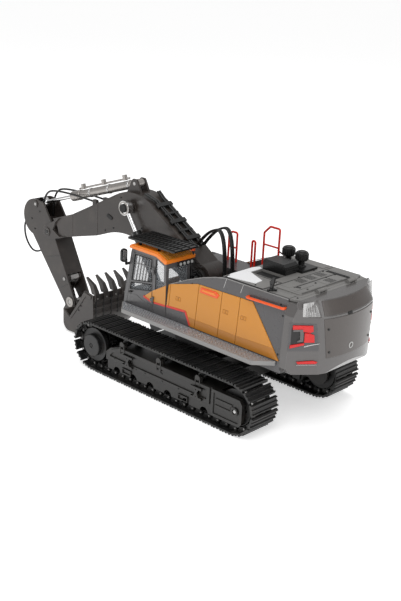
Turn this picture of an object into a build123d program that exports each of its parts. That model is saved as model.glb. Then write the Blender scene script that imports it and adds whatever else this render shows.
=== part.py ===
"""Radio-controlled tracked excavator, as an assembly of separate pieces.

Millimetres.  +X points forward, to the digging arm; +Y to the left, the cab side; +Z up.
The origin is on the ground under the slewing axis.
"""
import os
from math import atan2, cos, degrees, hypot, radians, sin, tan

from build123d import *

os.makedirs("parts", exist_ok=True)

# ---------------------------------------------------------------- driving dimensions
TRACK_WIDTH = 172.0          # over the outer edges of both belts
SHOE_WIDTH = 38.0
LINK_PITCH = 11.7
STRAIGHT_LINKS = 18          # links in each straight run of a belt
ARC_LINKS = 6                # links round each end
PLATE_IN, PLATE_OUT = 2.4, 4.0   # shoe plate, measured out from the pin line
GROUSER_OUT = 5.6
STRAP_R = 2.2                # half height of a link strap
PIN_R = 1.0
FIT = 0.05                   # radial clearance of a running fit

LINK_TURN = 180 / ARC_LINKS
PITCH_R = LINK_PITCH / (2 * sin(radians(LINK_TURN / 2)))
AXLE_X = STRAIGHT_LINKS * LINK_PITCH / 2
AXLE_Z = PITCH_R + GROUSER_OUT
TRACK_Y = (TRACK_WIDTH - SHOE_WIDTH) / 2
WHEEL_RIM_R = 18.9

DECK_Z = 145.6               # top of the engine deck
FLOOR_Z0, FLOOR_Z1 = 71.0, 78.0
HOUSE_Y = 63.0               # half width of the house at the walkways
DECK_Y = 57.0                # half width of the house at the deck
SIDE_Z = 83.0                # height of the walkways' top
REAR_X = -142.0              # where side shells meet the counterweight
TAIL_X = -178.0              # rearmost point of the counterweight
CAB_X0, CAB_X1 = 13.0, 77.0
CAB_Y0, CAB_Y1 = 27.6, 62.6
CAB_Z0, CAB_Z1 = 78.2, 146.0

BOOM_Y = 13.5                # half width of the boom
WALL = 2.2
FOOT = (12.0, 116.0)         # X, Z of the pivots, arm as it stands at rest
NOSE = (270.0, 109.0)
BOOM_EYE = (122.0, 171.0)
BOOM_LUG = (58.0, 80.0)
STICK_LUG = (124.0, 196.0)
STICK_EYE = (296.0, 138.0)
TIP = (229.0, 28.0)
BUCKET_EYE = (240.0, 13.0)
ROCKER = (240.0, 55.0)       # parallel linkage: rocker is to tip as link eye is to bucket eye
LINK_EYE = (251.0, 40.0)
STICK_Y = 13.0               # half width of the stick
CYL_Y = 20.6                 # sideways place of the boom cylinders
BUCKET_Y = 33.0              # half width of the bucket


def upright(y):
    """A plane square to Y at this y; its sketch axes are X and Z and it extrudes towards -Y."""
    return Plane.XZ.offset(-y)


def along(start, end, y):
    """A plane at the XZ point start whose normal runs to the XZ point end."""
    return Plane(origin=(start[0], y, start[1]), x_dir=(0, 1, 0),
                 z_dir=(end[0] - start[0], 0, end[1] - start[1]))


def distance(a, b):
    return hypot(b[0] - a[0], b[1] - a[1])


def flip(part):
    """The same piece for the other side of the machine."""
    return mirror(part, about=Plane.XZ)


# ---------------------------------------------------------------- track belts
def pin_points():
    """X, Z of every track pin, over the top to the rear, round, and back underneath."""
    points = []
    for i in range(STRAIGHT_LINKS):
        points.append((AXLE_X - i * LINK_PITCH, AXLE_Z + PITCH_R))
    for i in range(ARC_LINKS):
        turn = radians(90 + i * LINK_TURN)
        points.append((-AXLE_X + PITCH_R * cos(turn), AXLE_Z + PITCH_R * sin(turn)))
    for i in range(STRAIGHT_LINKS):
        points.append((-AXLE_X + i * LINK_PITCH, AXLE_Z - PITCH_R))
    for i in range(ARC_LINKS):
        turn = radians(270 + i * LINK_TURN)
        points.append((AXLE_X + PITCH_R * cos(turn), AXLE_Z + PITCH_R * sin(turn)))
    return points


def shoe_planes(y):
    """One plane per shoe: x along the belt, y outward, z to the left."""
    points = pin_points()
    planes = []
    for start, end in zip(points, points[1:] + points[:1]):
        middle = ((start[0] + end[0]) / 2, y, (start[1] + end[1]) / 2)
        planes.append(Plane(origin=middle, x_dir=(end[0] - start[0], 0, end[1] - start[1]),
                            z_dir=(0, 1, 0)))
    return planes


half_pitch = LINK_PITCH / 2
with BuildPart() as shoe:
    with BuildSketch():
        with BuildLine():
            edge = half_pitch - 0.25
            Polyline((-edge, PLATE_IN), (edge, PLATE_IN), (edge, PLATE_OUT), (edge - 0.9, GROUSER_OUT),
                     (edge - 1.7, GROUSER_OUT), (edge - 2.4, PLATE_OUT), (1.4, PLATE_OUT),
                     (0.5, GROUSER_OUT - 0.3), (-0.5, GROUSER_OUT - 0.3), (-1.4, PLATE_OUT),
                     (2.4 - edge, PLATE_OUT), (1.7 - edge, GROUSER_OUT), (0.9 - edge, GROUSER_OUT),
                     (-edge, PLATE_OUT), close=True)
        make_face()
    extrude(amount=SHOE_WIDTH / 2, both=True)
    for side in (-1, 1):
        for offset_z, eye_x in ((8.2, half_pitch), (10.8, -half_pitch)):
            with BuildSketch(Plane.XY.offset(side * offset_z - 1.1)):
                with Locations((eye_x / 2 - 0.2 * eye_x / half_pitch, 0.1)):
                    Rectangle(half_pitch + 0.6, 2 * STRAP_R - 0.2)
                with Locations((eye_x, 0)):
                    Circle(STRAP_R)
                with Locations((0, 1.6)):
                    Rectangle(4, 2.4)
                with Locations((eye_x, 0)):
                    Circle(PIN_R + FIT, mode=Mode.SUBTRACT)
            extrude(amount=2.2)

for name, side in (("track_shoes_left", 1), ("track_shoes_right", -1)):
    with BuildPart() as track_shoes:
        with Locations(*shoe_planes(side * TRACK_Y)):
            add(shoe.part)
    track_shoes.part.label = name
    export_step(track_shoes.part, f"parts/{name}.step")

with BuildPart() as track_pins:
    for side in (-1, 1):
        with BuildSketch(upright(side * TRACK_Y)):
            with Locations(*pin_points()):
                Circle(PIN_R)
        extrude(amount=12.2, both=True)
track_pins.part.label = "track_pins"
export_step(track_pins.part, "parts/track_pins.step")

# ---------------------------------------------------------------- drive sprockets and idlers
SPROCKET_TEETH = 12
TOOTH_TIP_R = PITCH_R - PIN_R - 0.5
AXLE_R = 3.0
GEARBOX_R = 13.5
GEARBOX_Y = TRACK_Y - 12.8    # outer face of the travel gearbox

wheel_front = Plane(origin=(AXLE_X, TRACK_Y, AXLE_Z), x_dir=(1, 0, 0), z_dir=(0, 1, 0))
wheel_rear = Plane(origin=(-AXLE_X, TRACK_Y, AXLE_Z), x_dir=(1, 0, 0), z_dir=(0, 1, 0))

with BuildPart() as sprocket_left:
    with BuildSketch(wheel_front.offset(-3.5)):
        Circle(17.6)
        with PolarLocations(0, SPROCKET_TEETH, start_angle=LINK_TURN / 2):
            Polygon((16.5, -3.1), (TOOTH_TIP_R, -1.2), (TOOTH_TIP_R, 1.2), (16.5, 3.1), align=None)
    extrude(amount=7)
    for low in (-11.9, 7.1):
        with BuildSketch(wheel_front.offset(low)):
            Circle(WHEEL_RIM_R)
        extrude(amount=4.8)
    with BuildSketch(wheel_front.offset(-11.9)):
        Circle(15)
    extrude(amount=23.8)
    # hub cover with one screw in a counterbore
    with BuildSketch(wheel_front.offset(11.9)):
        Circle(12.6)
    extrude(amount=5.4)
    chamfer(faces().sort_by(Axis.Y)[-1].edges(), 0.7)
    with BuildSketch(wheel_front.offset(17.3)):
        Circle(2.6)
    extrude(amount=-1.6, mode=Mode.SUBTRACT)
    with BuildSketch(wheel_front.offset(-30)):
        Circle(AXLE_R)
    extrude(amount=30)
sprocket_left.part.label = "sprocket_left"
export_step(sprocket_left.part, "parts/sprocket_left.step")

with BuildPart() as idler_left:
    for low, high, radius in ((-11.9, -6.9, WHEEL_RIM_R), (6.9, 11.9, WHEEL_RIM_R), (-6.9, 6.9, 16.0)):
        with BuildSketch(wheel_rear.offset(low)):
            Circle(radius)
            with PolarLocations(11.0, 6):
                Circle(2.6, mode=Mode.SUBTRACT)
        extrude(amount=high - low)
    with BuildSketch(wheel_rear.offset(-17.4)):
        Circle(AXLE_R)
    extrude(amount=34.6)
idler_left.part.label = "idler_left"
export_step(idler_left.part, "parts/idler_left.step")

for name, piece in (("sprocket_right", sprocket_left), ("idler_right", idler_left)):
    with BuildPart() as wheel_right:
        add(flip(piece.part))
    wheel_right.part.label = name
    export_step(wheel_right.part, f"parts/{name}.step")

# ---------------------------------------------------------------- side frames
BEAM_Z0, BEAM_Z1 = 19.0, 39.4
BEAM_Y0, BEAM_Y1 = TRACK_Y - 13.6, TRACK_Y + 14.6
ROLLER_R, ROLLER_Z = 5.2, AXLE_Z - PITCH_R + STRAP_R + 0.3 + 5.2
CARRIER_R = 3.9
CARRIER_Z = AXLE_Z + PITCH_R - STRAP_R - 0.3 - CARRIER_R
ROLLER_XS = [26.0 * i for i in range(-3, 4)]
CARRIER_XS = [-56.0, 0.0, 56.0]

with BuildPart() as side_frame_left:
    with BuildSketch(upright(BEAM_Y1)):
        with BuildLine():
            Polyline((-84, BEAM_Z0), (-84, BEAM_Z1), (60, BEAM_Z1), (76, 34), (83, 28), (83, BEAM_Z0),
                     close=True)
        make_face()
    extrude(amount=BEAM_Y1 - BEAM_Y0)
    # raised panel on the outer face, with a sunk middle
    with BuildSketch(upright(BEAM_Y1 + 1.4)):
        with BuildLine():
            Polyline((-73, 21), (-73, 39), (58, 39), (74, 33), (80, 27.5), (80, 21), close=True)
        make_face()
        with BuildLine():
            Polyline((-69, 25), (-69, 35.5), (56, 35.5), (71, 30.5), (75, 26.5), (75, 25), close=True)
        make_face(mode=Mode.SUBTRACT)
    extrude(amount=1.4)
    # roller guards, scalloped between the rollers
    for outer in (BEAM_Y1, BEAM_Y0 + 1.6):
        with BuildSketch(upright(outer)):
            with Locations((0, 14.4)):
                Rectangle(160, 9.4)
            with Locations(*[(x + 13, 9.4) for x in ROLLER_XS[:-1]]):
                Circle(5.4, mode=Mode.SUBTRACT)
        extrude(amount=1.6)
    # carrier roller brackets
    for x in CARRIER_XS:
        for outer in (BEAM_Y1 - 0.6, TRACK_Y - 11.0):
            with BuildSketch(upright(outer)):
                with Locations((x, 42.2)):
                    Rectangle(8, 6.4)
            extrude(amount=1.8)
    # inner arm round the travel gearbox
    with BuildSketch(upright(BEAM_Y0)):
        with Locations((AXLE_X, AXLE_Z)):
            Circle(GEARBOX_R + 3.5)
        with Locations((86, 28)):
            Rectangle(26, 18)
        with Locations((AXLE_X, AXLE_Z)):
            Circle(GEARBOX_R + FIT, mode=Mode.SUBTRACT)
    extrude(amount=3.6)
    # idler yoke: inner arm, outer box plate with its ribs and bolt boss
    with BuildSketch(upright(BEAM_Y0)):
        with Locations((-AXLE_X, AXLE_Z)):
            Circle(13)
        with Locations((-88, 28)):
            Rectangle(30, 18)
    extrude(amount=3.6)
    with BuildSketch(upright(TRACK_Y + 17.4)):
        with BuildLine():
            Polyline((-77.5, 12), (-77.5, 40.5), (-114.5, 40.5), (-118, 36), (-118, 16), (-114.5, 12),
                     close=True)
        make_face()
    extrude(amount=4.0)
    with BuildSketch(upright(TRACK_Y + 18.4)):
        with BuildLine():
            Polyline((-77.5, 12), (-77.5, 40.5), (-114.5, 40.5), (-118, 36), (-118, 16), (-114.5, 12),
                     close=True)
        make_face()
        with BuildLine():
            Polyline((-80.5, 15), (-80.5, 37.5), (-113, 37.5), (-115, 35), (-115, 17), (-113, 15),
                     close=True)
        make_face(mode=Mode.SUBTRACT)
        with Locations((-94, 31), (-94, 24)):
            Rectangle(22, 2.4)
        with Locations((-108.5, 26.5)):
            Circle(4.2)
            Circle(2.2, mode=Mode.SUBTRACT)
    extrude(amount=1.0)
    with BuildSketch(upright(TRACK_Y + 18)):
        with Locations((-AXLE_X, AXLE_Z)):
            Circle(AXLE_R + FIT)
    extrude(amount=40, mode=Mode.SUBTRACT)
side_frame_left.part.label = "side_frame_left"
export_step(side_frame_left.part, "parts/side_frame_left.step")

with BuildPart() as side_frame_right:
    add(flip(side_frame_left.part))
side_frame_right.part.label = "side_frame_right"
export_step(side_frame_right.part, "parts/side_frame_right.step")

with BuildPart() as track_rollers:
    for side in (-1, 1):
        for radius, half, z, xs in ((ROLLER_R, 11.7, ROLLER_Z, ROLLER_XS),
                                    (CARRIER_R, 10.8, CARRIER_Z, CARRIER_XS)):
            for reach, circle in ((half, radius), (6.4, radius - 1.2)):
                mode = Mode.ADD if reach == half else Mode.SUBTRACT
                for x in xs:
                    with BuildSketch(upright(side * TRACK_Y)):
                        with Locations((x, z)):
                            Circle(radius)
                            if mode == Mode.SUBTRACT:
                                Circle(circle, mode=Mode.SUBTRACT)
                    extrude(amount=reach, both=True, mode=mode)
track_rollers.part.label = "track_rollers"
export_step(track_rollers.part, "parts/track_rollers.step")

# rungs bolted to the outer face of each side frame
STEP_XS = (46.0, -56.0)
with BuildPart() as side_steps:
    for side in (-1, 1):
        for x in STEP_XS:
            with BuildSketch(upright(side * (BEAM_Y1 + 2.5))):
                with Locations((x, 33.4), (x, 22.6)):
                    Rectangle(15, 2.4)
                for lean in (-26, 26):
                    with Locations((x, 28)):
                        Rectangle(2.4, 11, rotation=lean)
            extrude(amount=1.0, both=True)
side_steps.part.label = "side_steps"
export_step(side_steps.part, "parts/side_steps.step")

with BuildPart() as travel_gearboxes:
    for side in (-1, 1):
        for start, end, radius in ((33.0, GEARBOX_Y, GEARBOX_R), (12.0, 33.0, 8.0)):
            with BuildSketch(Plane(origin=(AXLE_X, side * start, AXLE_Z), x_dir=(1, 0, 0),
                                   z_dir=(0, side, 0))):
                Circle(radius)
            extrude(amount=end - start)
        with BuildSketch(Plane(origin=(AXLE_X, side * 36.9, AXLE_Z), x_dir=(1, 0, 0), z_dir=(0, side, 0))):
            Circle(AXLE_R + FIT)
        extrude(amount=20, mode=Mode.SUBTRACT)
travel_gearboxes.part.label = "travel_gearboxes"
export_step(travel_gearboxes.part, "parts/travel_gearboxes.step")

# ---------------------------------------------------------------- car body and slewing gear
CAR_TOP = 58.0
SPIGOT_R = 12.0
with BuildPart() as car_body:
    with BuildSketch(Plane.XY.offset(24)):
        RectangleRounded(96, 90, 10)
    extrude(amount=26)
    with BuildSketch(Plane.XY.offset(50)):
        Circle(42)
    with BuildSketch(Plane.XY.offset(CAR_TOP)):
        Circle(38)
    loft()
    for x in (-46, 46):
        with BuildSketch(Plane.XY.offset(20.5)):
            with Locations((x, 0)):
                Rectangle(26, 2 * BEAM_Y0)
        extrude(amount=16)
    with BuildSketch(Plane.XY.offset(38)):
        Circle(SPIGOT_R + FIT)
    extrude(amount=30, mode=Mode.SUBTRACT)
car_body.part.label = "car_body"
export_step(car_body.part, "parts/car_body.step")

RING_TEETH, PINION_TEETH = 56, 12
RING_PITCH_R, PINION_PITCH_R = 28.0, 6.0
PINION_X = -(RING_PITCH_R - PINION_PITCH_R)
RING_TOP = 67.0
with BuildPart() as slew_ring:
    with BuildSketch(Plane.XY.offset(CAR_TOP)):
        Circle(36)
        Circle(29.2, mode=Mode.SUBTRACT)
        with PolarLocations(0, RING_TEETH, start_angle=180 / RING_TEETH):
            Polygon((27.15, -0.42), (29.6, -0.8), (29.6, 0.8), (27.15, 0.42), align=None)
    extrude(amount=RING_TOP - CAR_TOP)
slew_ring.part.label = "slew_ring"
export_step(slew_ring.part, "parts/slew_ring.step")

with BuildPart() as slew_pinion:
    with BuildSketch(Plane.XY.offset(CAR_TOP + 1)):
        with Locations((PINION_X, 0)):
            Circle(4.8)
            with PolarLocations(0, PINION_TEETH):
                Polygon((4.4, -0.8), (6.7, -0.42), (6.7, 0.42), (4.4, 0.8), align=None)
    extrude(amount=RING_TOP - CAR_TOP - 1.5)
    with BuildSketch(Plane.XY.offset(RING_TOP - 1)):
        with Locations((PINION_X, 0)):
            Circle(2)
    extrude(amount=17)
slew_pinion.part.label = "slew_pinion"
export_step(slew_pinion.part, "parts/slew_pinion.step")

# ---------------------------------------------------------------- house floor
TOWER_Y0, TOWER_Y1 = 15.0, 19.0
LUG_Y0, LUG_Y1, LUG_T = 14.9, 23.9, 2.3
with BuildPart() as house_floor:
    with BuildSketch(Plane.XY.offset(FLOOR_Z0)):
        with BuildLine():
            Polyline((REAR_X + 0.4, -60), (62, -60), (62, -27.3), (46, -27.3), (46, 27.3), (73, 27.3),
                     (73, 60), (REAR_X + 0.4, 60), close=True)
        make_face()
    extrude(amount=FLOOR_Z1 - FLOOR_Z0)
    with BuildSketch(Plane.XY.offset(RING_TOP + 0.3)):
        Circle(38)
    extrude(amount=FLOOR_Z0 - RING_TOP - 0.3)
    with BuildSketch(Plane.XY.offset(40)):
        Circle(SPIGOT_R)
    extrude(amount=30)
    for side in (-1, 1):
        with BuildSketch(upright(side * (TOWER_Y0 + TOWER_Y1) / 2)):
            with Locations(FOOT):
                Circle(11)
            with BuildLine():
                Polyline((-14, FLOOR_Z1), (40, FLOOR_Z1), (22.5, 119), (1.5, 119), close=True)
            make_face()
            with Locations(FOOT):
                Circle(3.5 + FIT, mode=Mode.SUBTRACT)
        extrude(amount=(TOWER_Y1 - TOWER_Y0) / 2, both=True)
        for low in (LUG_Y0, LUG_Y1):
            with BuildSketch(upright(side * (low + LUG_T / 2))):
                with Locations(BOOM_LUG):
                    Circle(6.2)
                with BuildLine():
                    Polyline((40, FLOOR_Z0), (58, FLOOR_Z0), (64, 78), (60, 86), (44, 86), (36, 78),
                             close=True)
                make_face()
            extrude(amount=LUG_T / 2, both=True)
        with BuildSketch(upright(side * (LUG_Y0 + LUG_Y1 + LUG_T) / 2)):
            with Locations(BOOM_LUG):
                Circle(2)
        extrude(amount=(LUG_Y1 + LUG_T - LUG_Y0) / 2, both=True)
        # room for the cylinder eye between its lugs
        with BuildSketch(upright(side * CYL_Y)):
            with Locations(BOOM_LUG):
                Circle(7.5)
                Circle(2, mode=Mode.SUBTRACT)
        extrude(amount=3.3, both=True, mode=Mode.SUBTRACT)
    with BuildSketch(Plane.XY.offset(RING_TOP)):
        with Locations((PINION_X, 0)):
            Circle(2 + FIT)
    extrude(amount=20, mode=Mode.SUBTRACT)
    # slot for the power switch
    with BuildSketch(Plane.XY.offset(FLOOR_Z0)):
        with Locations((-112, -34)):
            Rectangle(12.4, 5.2)
    extrude(amount=FLOOR_Z1 - FLOOR_Z0, mode=Mode.SUBTRACT)
house_floor.part.label = "house_floor"
export_step(house_floor.part, "parts/house_floor.step")

with BuildPart() as power_switch:
    with BuildSketch(Plane.XY.offset(FLOOR_Z1 + 0.3)):
        with Locations((-112, -34)):
            Rectangle(18, 9)
    extrude(amount=3)
    with BuildSketch(Plane.XY.offset(FLOOR_Z0 - 1.6)):
        with Locations((-114.2, -34)):
            Rectangle(6, 4)
    extrude(amount=FLOOR_Z1 - FLOOR_Z0 + 2)
power_switch.part.label = "power_switch"
export_step(power_switch.part, "parts/power_switch.step")

with BuildPart() as slew_motor:
    with BuildSketch(Plane.XY.offset(FLOOR_Z1)):
        with Locations((PINION_X, 0)):
            RectangleRounded(30, 24, 4)
    extrude(amount=12)
    with BuildSketch(Plane.XY.offset(FLOOR_Z1 + 12)):
        with Locations((PINION_X - 3, 0)):
            Circle(9.5)
    extrude(amount=18)
    with BuildSketch(Plane.XY.offset(FLOOR_Z1)):
        with Locations((PINION_X, 0)):
            Circle(2 + FIT)
    extrude(amount=6, mode=Mode.SUBTRACT)
slew_motor.part.label = "slew_motor"
export_step(slew_motor.part, "parts/slew_motor.step")

with BuildPart() as battery:
    with BuildSketch(Plane.XY.offset(FLOOR_Z1)):
        with Locations((-92, 6)):
            RectangleRounded(72, 38, 4)
    extrude(amount=28)
    fillet(battery.edges().group_by(Axis.Z)[-1], 3)
battery.part.label = "battery"
export_step(battery.part, "parts/battery.step")

with BuildPart() as circuit_board:
    with BuildSketch(Plane.XY.offset(FLOOR_Z1 + 5)):
        with Locations((-34, 42)):
            Rectangle(44, 24)
    extrude(amount=1.6)
    for x, y, width, depth, height in ((-46, 42, 9, 9, 2), (-28, 46, 14, 8, 5), (-30, 35, 18, 4, 7)):
        with BuildSketch(Plane.XY.offset(FLOOR_Z1 + 6.6)):
            with Locations((x, y)):
                Rectangle(width, depth)
        extrude(amount=height)
    with BuildSketch(Plane.XY.offset(FLOOR_Z1)):
        with Locations((-34, 42)):
            with GridLocations(36, 17, 2, 2):
                Circle(1.6)
    extrude(amount=5)
circuit_board.part.label = "circuit_board"
export_step(circuit_board.part, "parts/circuit_board.step")

# ---------------------------------------------------------------- house shells
SHELL_T = 2.0
INNER_Y = DECK_Y - SHELL_T


def wall_section(side):
    """Y, Z section of one side wall: upright at the bottom, leaning in towards the deck."""
    return [(side * y, z) for y, z in ((HOUSE_Y, 72.0), (HOUSE_Y, SIDE_Z), (DECK_Y, DECK_Z), (INNER_Y, DECK_Z),
                                       (HOUSE_Y - SHELL_T, SIDE_Z), (HOUSE_Y - SHELL_T, 72.0))]


SHOULDER = [(-27.0, 136.0), (-61.0, 145.2), (REAR_X, 145.2), (REAR_X, 72.0)]
LEFT_OUTLINE = [(73, 72), (73, 77.9), (12.6, 77.9), (12.6, 118)] + SHOULDER
RIGHT_OUTLINE = [(62, 72), (62, 119.8), (8, 119.8)] + SHOULDER

with BuildPart() as side_shell_left:
    with BuildSketch(upright(HOUSE_Y + 5)):
        Polygon(*LEFT_OUTLINE, align=None)
    extrude(amount=20)
    with BuildSketch(Plane.YZ.offset(-200)):
        Polygon(*wall_section(1), align=None)
    extrude(amount=400, mode=Mode.INTERSECT)
    # recessed door handle
    with BuildSketch(upright(HOUSE_Y)):
        with Locations((-43, 124)):
            SlotOverall(23, 6)
    extrude(amount=4.2, mode=Mode.SUBTRACT)
side_shell_left.part.label = "side_shell_left"
export_step(side_shell_left.part, "parts/side_shell_left.step")

with BuildPart() as side_shell_right:
    with BuildSketch(upright(-HOUSE_Y - 5)):
        Polygon(*RIGHT_OUTLINE, align=None)
    extrude(amount=-20)
    with BuildSketch(Plane.YZ.offset(-200)):
        Polygon(*wall_section(-1), align=None)
    extrude(amount=400, mode=Mode.INTERSECT)
    # fuel tank box beside the boom
    with BuildSketch(upright(-28.0)):
        Polygon((-6, FLOOR_Z1 + 0.1), (61.6, FLOOR_Z1 + 0.1), (61.6, 112), (54, 119.8), (-6, 119.8), align=None)
    extrude(amount=31)
    with BuildSketch(upright(-30.0)):
        Polygon((-4, FLOOR_Z1), (59.4, FLOOR_Z1), (59.4, 111), (53, 117.6), (-4, 117.6), align=None)
    extrude(amount=27, mode=Mode.SUBTRACT)
side_shell_right.part.label = "side_shell_right"
export_step(side_shell_right.part, "parts/side_shell_right.step")

# engine deck: rear plate with the hatch opening, front bulkhead and the low shelf behind the boom
DECK_T = 2.6
DECK_FRONT, DECK_REAR = -58.0, -152.2
HATCH_X0, HATCH_X1, HATCH_Y = -147.6, -110.0, 45.0
HINGE_X, HINGE_Z = -150.0, DECK_Z + 2.0
SHELF_Z = 112.5
HINGE_SPOTS = (-30, 18)
WELL = (-82.5, 16.0, 30.0, 17.0)     # centre x, y and size of the sunk intake well
with BuildPart() as engine_deck:
    with BuildSketch(Plane.XY.offset(DECK_Z - DECK_T)):
        Polygon((DECK_FRONT, -INNER_Y + 0.1), (DECK_FRONT, INNER_Y - 0.1), (REAR_X, INNER_Y - 0.1),
                (DECK_REAR, 52), (DECK_REAR, -52), (REAR_X, -INNER_Y + 0.1), align=None)
        with Locations(((HATCH_X0 + HATCH_X1) / 2, 0)):
            Rectangle(HATCH_X1 - HATCH_X0 + 0.8, 2 * HATCH_Y + 0.8, mode=Mode.SUBTRACT)
        with Locations(WELL[:2]):
            Rectangle(WELL[2], WELL[3], mode=Mode.SUBTRACT)
    extrude(amount=DECK_T)
    with BuildSketch(Plane.XY.offset(SHELF_Z - 2)):
        with Locations(((DECK_FRONT - 8) / 2, 0)):
            Rectangle(-8 - DECK_FRONT, 2 * 55)
    extrude(amount=2)
    with BuildSketch(Plane.XY.offset(SHELF_Z - 2)):
        with Locations((DECK_FRONT - 1.2, 0)):
            Rectangle(2.4, 2 * 54)
    extrude(amount=DECK_Z - SHELF_Z + 2)
    for y in HINGE_SPOTS:
        for offset_y in (-5.2, 5.2):
            with BuildSketch(upright(y + offset_y + 1.2)):
                with Locations((HINGE_X, HINGE_Z)):
                    Circle(1.9)
                with Locations((HINGE_X, HINGE_Z - 1.4)):
                    Rectangle(3.8, 2.8)
            extrude(amount=2.4)
        with BuildSketch(upright(y + 6)):
            with Locations((HINGE_X, HINGE_Z)):
                Circle(0.8)
        extrude(amount=12)
engine_deck.part.label = "engine_deck"
export_step(engine_deck.part, "parts/engine_deck.step")

with BuildPart() as deck_hatch:
    with BuildSketch(Plane.XY.offset(DECK_Z - DECK_T)):
        with Locations(((HATCH_X0 + HATCH_X1) / 2, 0)):
            RectangleRounded(HATCH_X1 - HATCH_X0, 2 * HATCH_Y, 1.5)
    extrude(amount=DECK_T)
    with BuildSketch(Plane.XY.offset(DECK_Z)):
        with Locations(((HATCH_X0 + HATCH_X1) / 2 + 1, 0)):
            RectangleRounded(HATCH_X1 - HATCH_X0 - 7, 2 * HATCH_Y - 7, 3)
    extrude(amount=0.8)
    for y in HINGE_SPOTS:
        with BuildSketch(upright(y + 3.8)):
            with Locations((HINGE_X, HINGE_Z)):
                Circle(1.9)
            Polygon((HINGE_X, HINGE_Z - 1.0), (HINGE_X, HINGE_Z + 1.9), (HATCH_X0 + 3, DECK_Z + 0.8),
                    (HATCH_X0 + 3, DECK_Z), (HATCH_X0 + 0.6, DECK_Z), align=None)
            with Locations((HINGE_X, HINGE_Z)):
                Circle(0.8 + FIT, mode=Mode.SUBTRACT)
        extrude(amount=7.6)
deck_hatch.part.label = "deck_hatch"
export_step(deck_hatch.part, "parts/deck_hatch.step")

# counterweight: rounded in plan, sloped towards the deck, leaning in at the sides
TAIL_CORNER = (-150.0, 65.0)      # a flat facet runs from here to TAIL_EDGE, then the tail is curved
TAIL_EDGE = (-170.0, 41.0)
TAIL_R = 109.0                    # radius of the curved part
TAIL_SHOULDER = 131.0             # the tail slopes forward above this height
FACET = Vector(TAIL_EDGE[0] - TAIL_CORNER[0], TAIL_EDGE[1] - TAIL_CORNER[1], 0).normalized()
FACET_OUT = Vector(FACET.Y, -FACET.X, 0)
with BuildPart() as facet_cut:
    with BuildSketch(Plane(origin=(*TAIL_CORNER, 0), x_dir=FACET_OUT, z_dir=-FACET)):
        Polygon((0, 60), (0, DECK_Z + 1), (60, DECK_Z + 1), (60, 60), align=None)
    extrude(amount=40, both=True)
# the facet's upper inner corner twists forward to meet the slope
with BuildPart() as shoulder_cut:
    for z, inner in ((TAIL_SHOULDER, TAIL_EDGE), (DECK_Z + 1, (-161.0, 38.0))):
        with BuildSketch(Plane.XY.offset(z)):
            Polygon((-157.3, 56.2), inner, (-200, inner[1]), (-200, 56.2), align=None)
    loft(ruled=True)
with BuildPart() as counterweight:
    with BuildSketch(upright(70)):
        Polygon((REAR_X - 0.3, 74), (REAR_X - 0.3, DECK_Z - DECK_T - 0.3), (DECK_REAR - 0.3, DECK_Z - DECK_T - 0.3),
                (DECK_REAR - 0.3, DECK_Z), (TAIL_X, DECK_Z), (TAIL_X, 81), (-173, 74), align=None)
    extrude(amount=140)
    with BuildSketch(Plane(origin=(TAIL_X + TAIL_R, 0, 0), x_dir=(1, 0, 0), z_dir=(0, -1, 0))):
        Polygon((0, 60), (TAIL_R, 60), (TAIL_R, TAIL_SHOULDER), (TAIL_R - 9, DECK_Z + 1), (0, DECK_Z + 1), align=None)
    revolve(axis=Axis((TAIL_X + TAIL_R, 0, 0), (0, 0, 1)), mode=Mode.INTERSECT)
    with BuildSketch(Plane.YZ.offset(-200)):
        Polygon((-60, 74), (-64.5, 79), (-64.5, 92), (-61.5, TAIL_SHOULDER), (-DECK_Y, DECK_Z), (DECK_Y, DECK_Z),
                (61.5, TAIL_SHOULDER), (64.5, 92), (64.5, 79), (60, 74), align=None)
    extrude(amount=100, mode=Mode.INTERSECT)
    for cut in (facet_cut.part, shoulder_cut.part):
        add(cut, mode=Mode.SUBTRACT)
        add(flip(cut), mode=Mode.SUBTRACT)
    # tow hook hole in the tail
    with BuildSketch(Plane.YZ.offset(TAIL_X + 8)):
        with Locations((2.5, 97)):
            Circle(2.8)
    extrude(amount=-12, mode=Mode.SUBTRACT)
counterweight.part.label = "counterweight"
export_step(counterweight.part, "parts/counterweight.step")

LAMP_T = 1.3
with BuildPart() as left_lights:
    with BuildSketch(Plane(origin=(*TAIL_CORNER, 0), x_dir=FACET, z_dir=FACET_OUT).offset(0.02)):
        Polygon((4.4, 124.0), (23.4, 123.6), (24.2, 118.0), (21.0, 116.6), (25.2, 114.2), (25.9, 106.7),
                (16.6, 104.5), (2.6, 101.0), align=None)
        Polygon((9.9, 87.4), (11.4, 85.2), (28.9, 85.4), (30.4, 87.2), (26.0, 88.5), align=None)
    extrude(amount=LAMP_T)
with BuildPart() as tail_lights:
    add(left_lights.part)
    add(flip(left_lights.part))
tail_lights.part.label = "tail_lights"
export_step(tail_lights.part, "parts/tail_lights.step")

# walkways beside the house
WALK_Y = 80.0
with BuildPart() as walkways:
    for side in (-1, 1):
        front = 76.5 if side > 0 else 62
        with BuildSketch(Plane.XY.offset(SIDE_Z - 4)):
            Polygon((front, side * (HOUSE_Y + 0.05)), (front, side * (HOUSE_Y + 1.6)), (front - 15.7, side * WALK_Y),
                    (-121, side * WALK_Y), (-137, side * (HOUSE_Y + 1)), (-137, side * (HOUSE_Y + 0.05)), align=None)
        extrude(amount=4)
        with BuildSketch(Plane.XY.offset(SIDE_Z - 7)):
            for x in (58, 4, -50, -104):
                with Locations((x, side * (HOUSE_Y + 5.1))):
                    Rectangle(3, 10)
        extrude(amount=3)
walkways.part.label = "walkways"
export_step(walkways.part, "parts/walkways.step")

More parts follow.
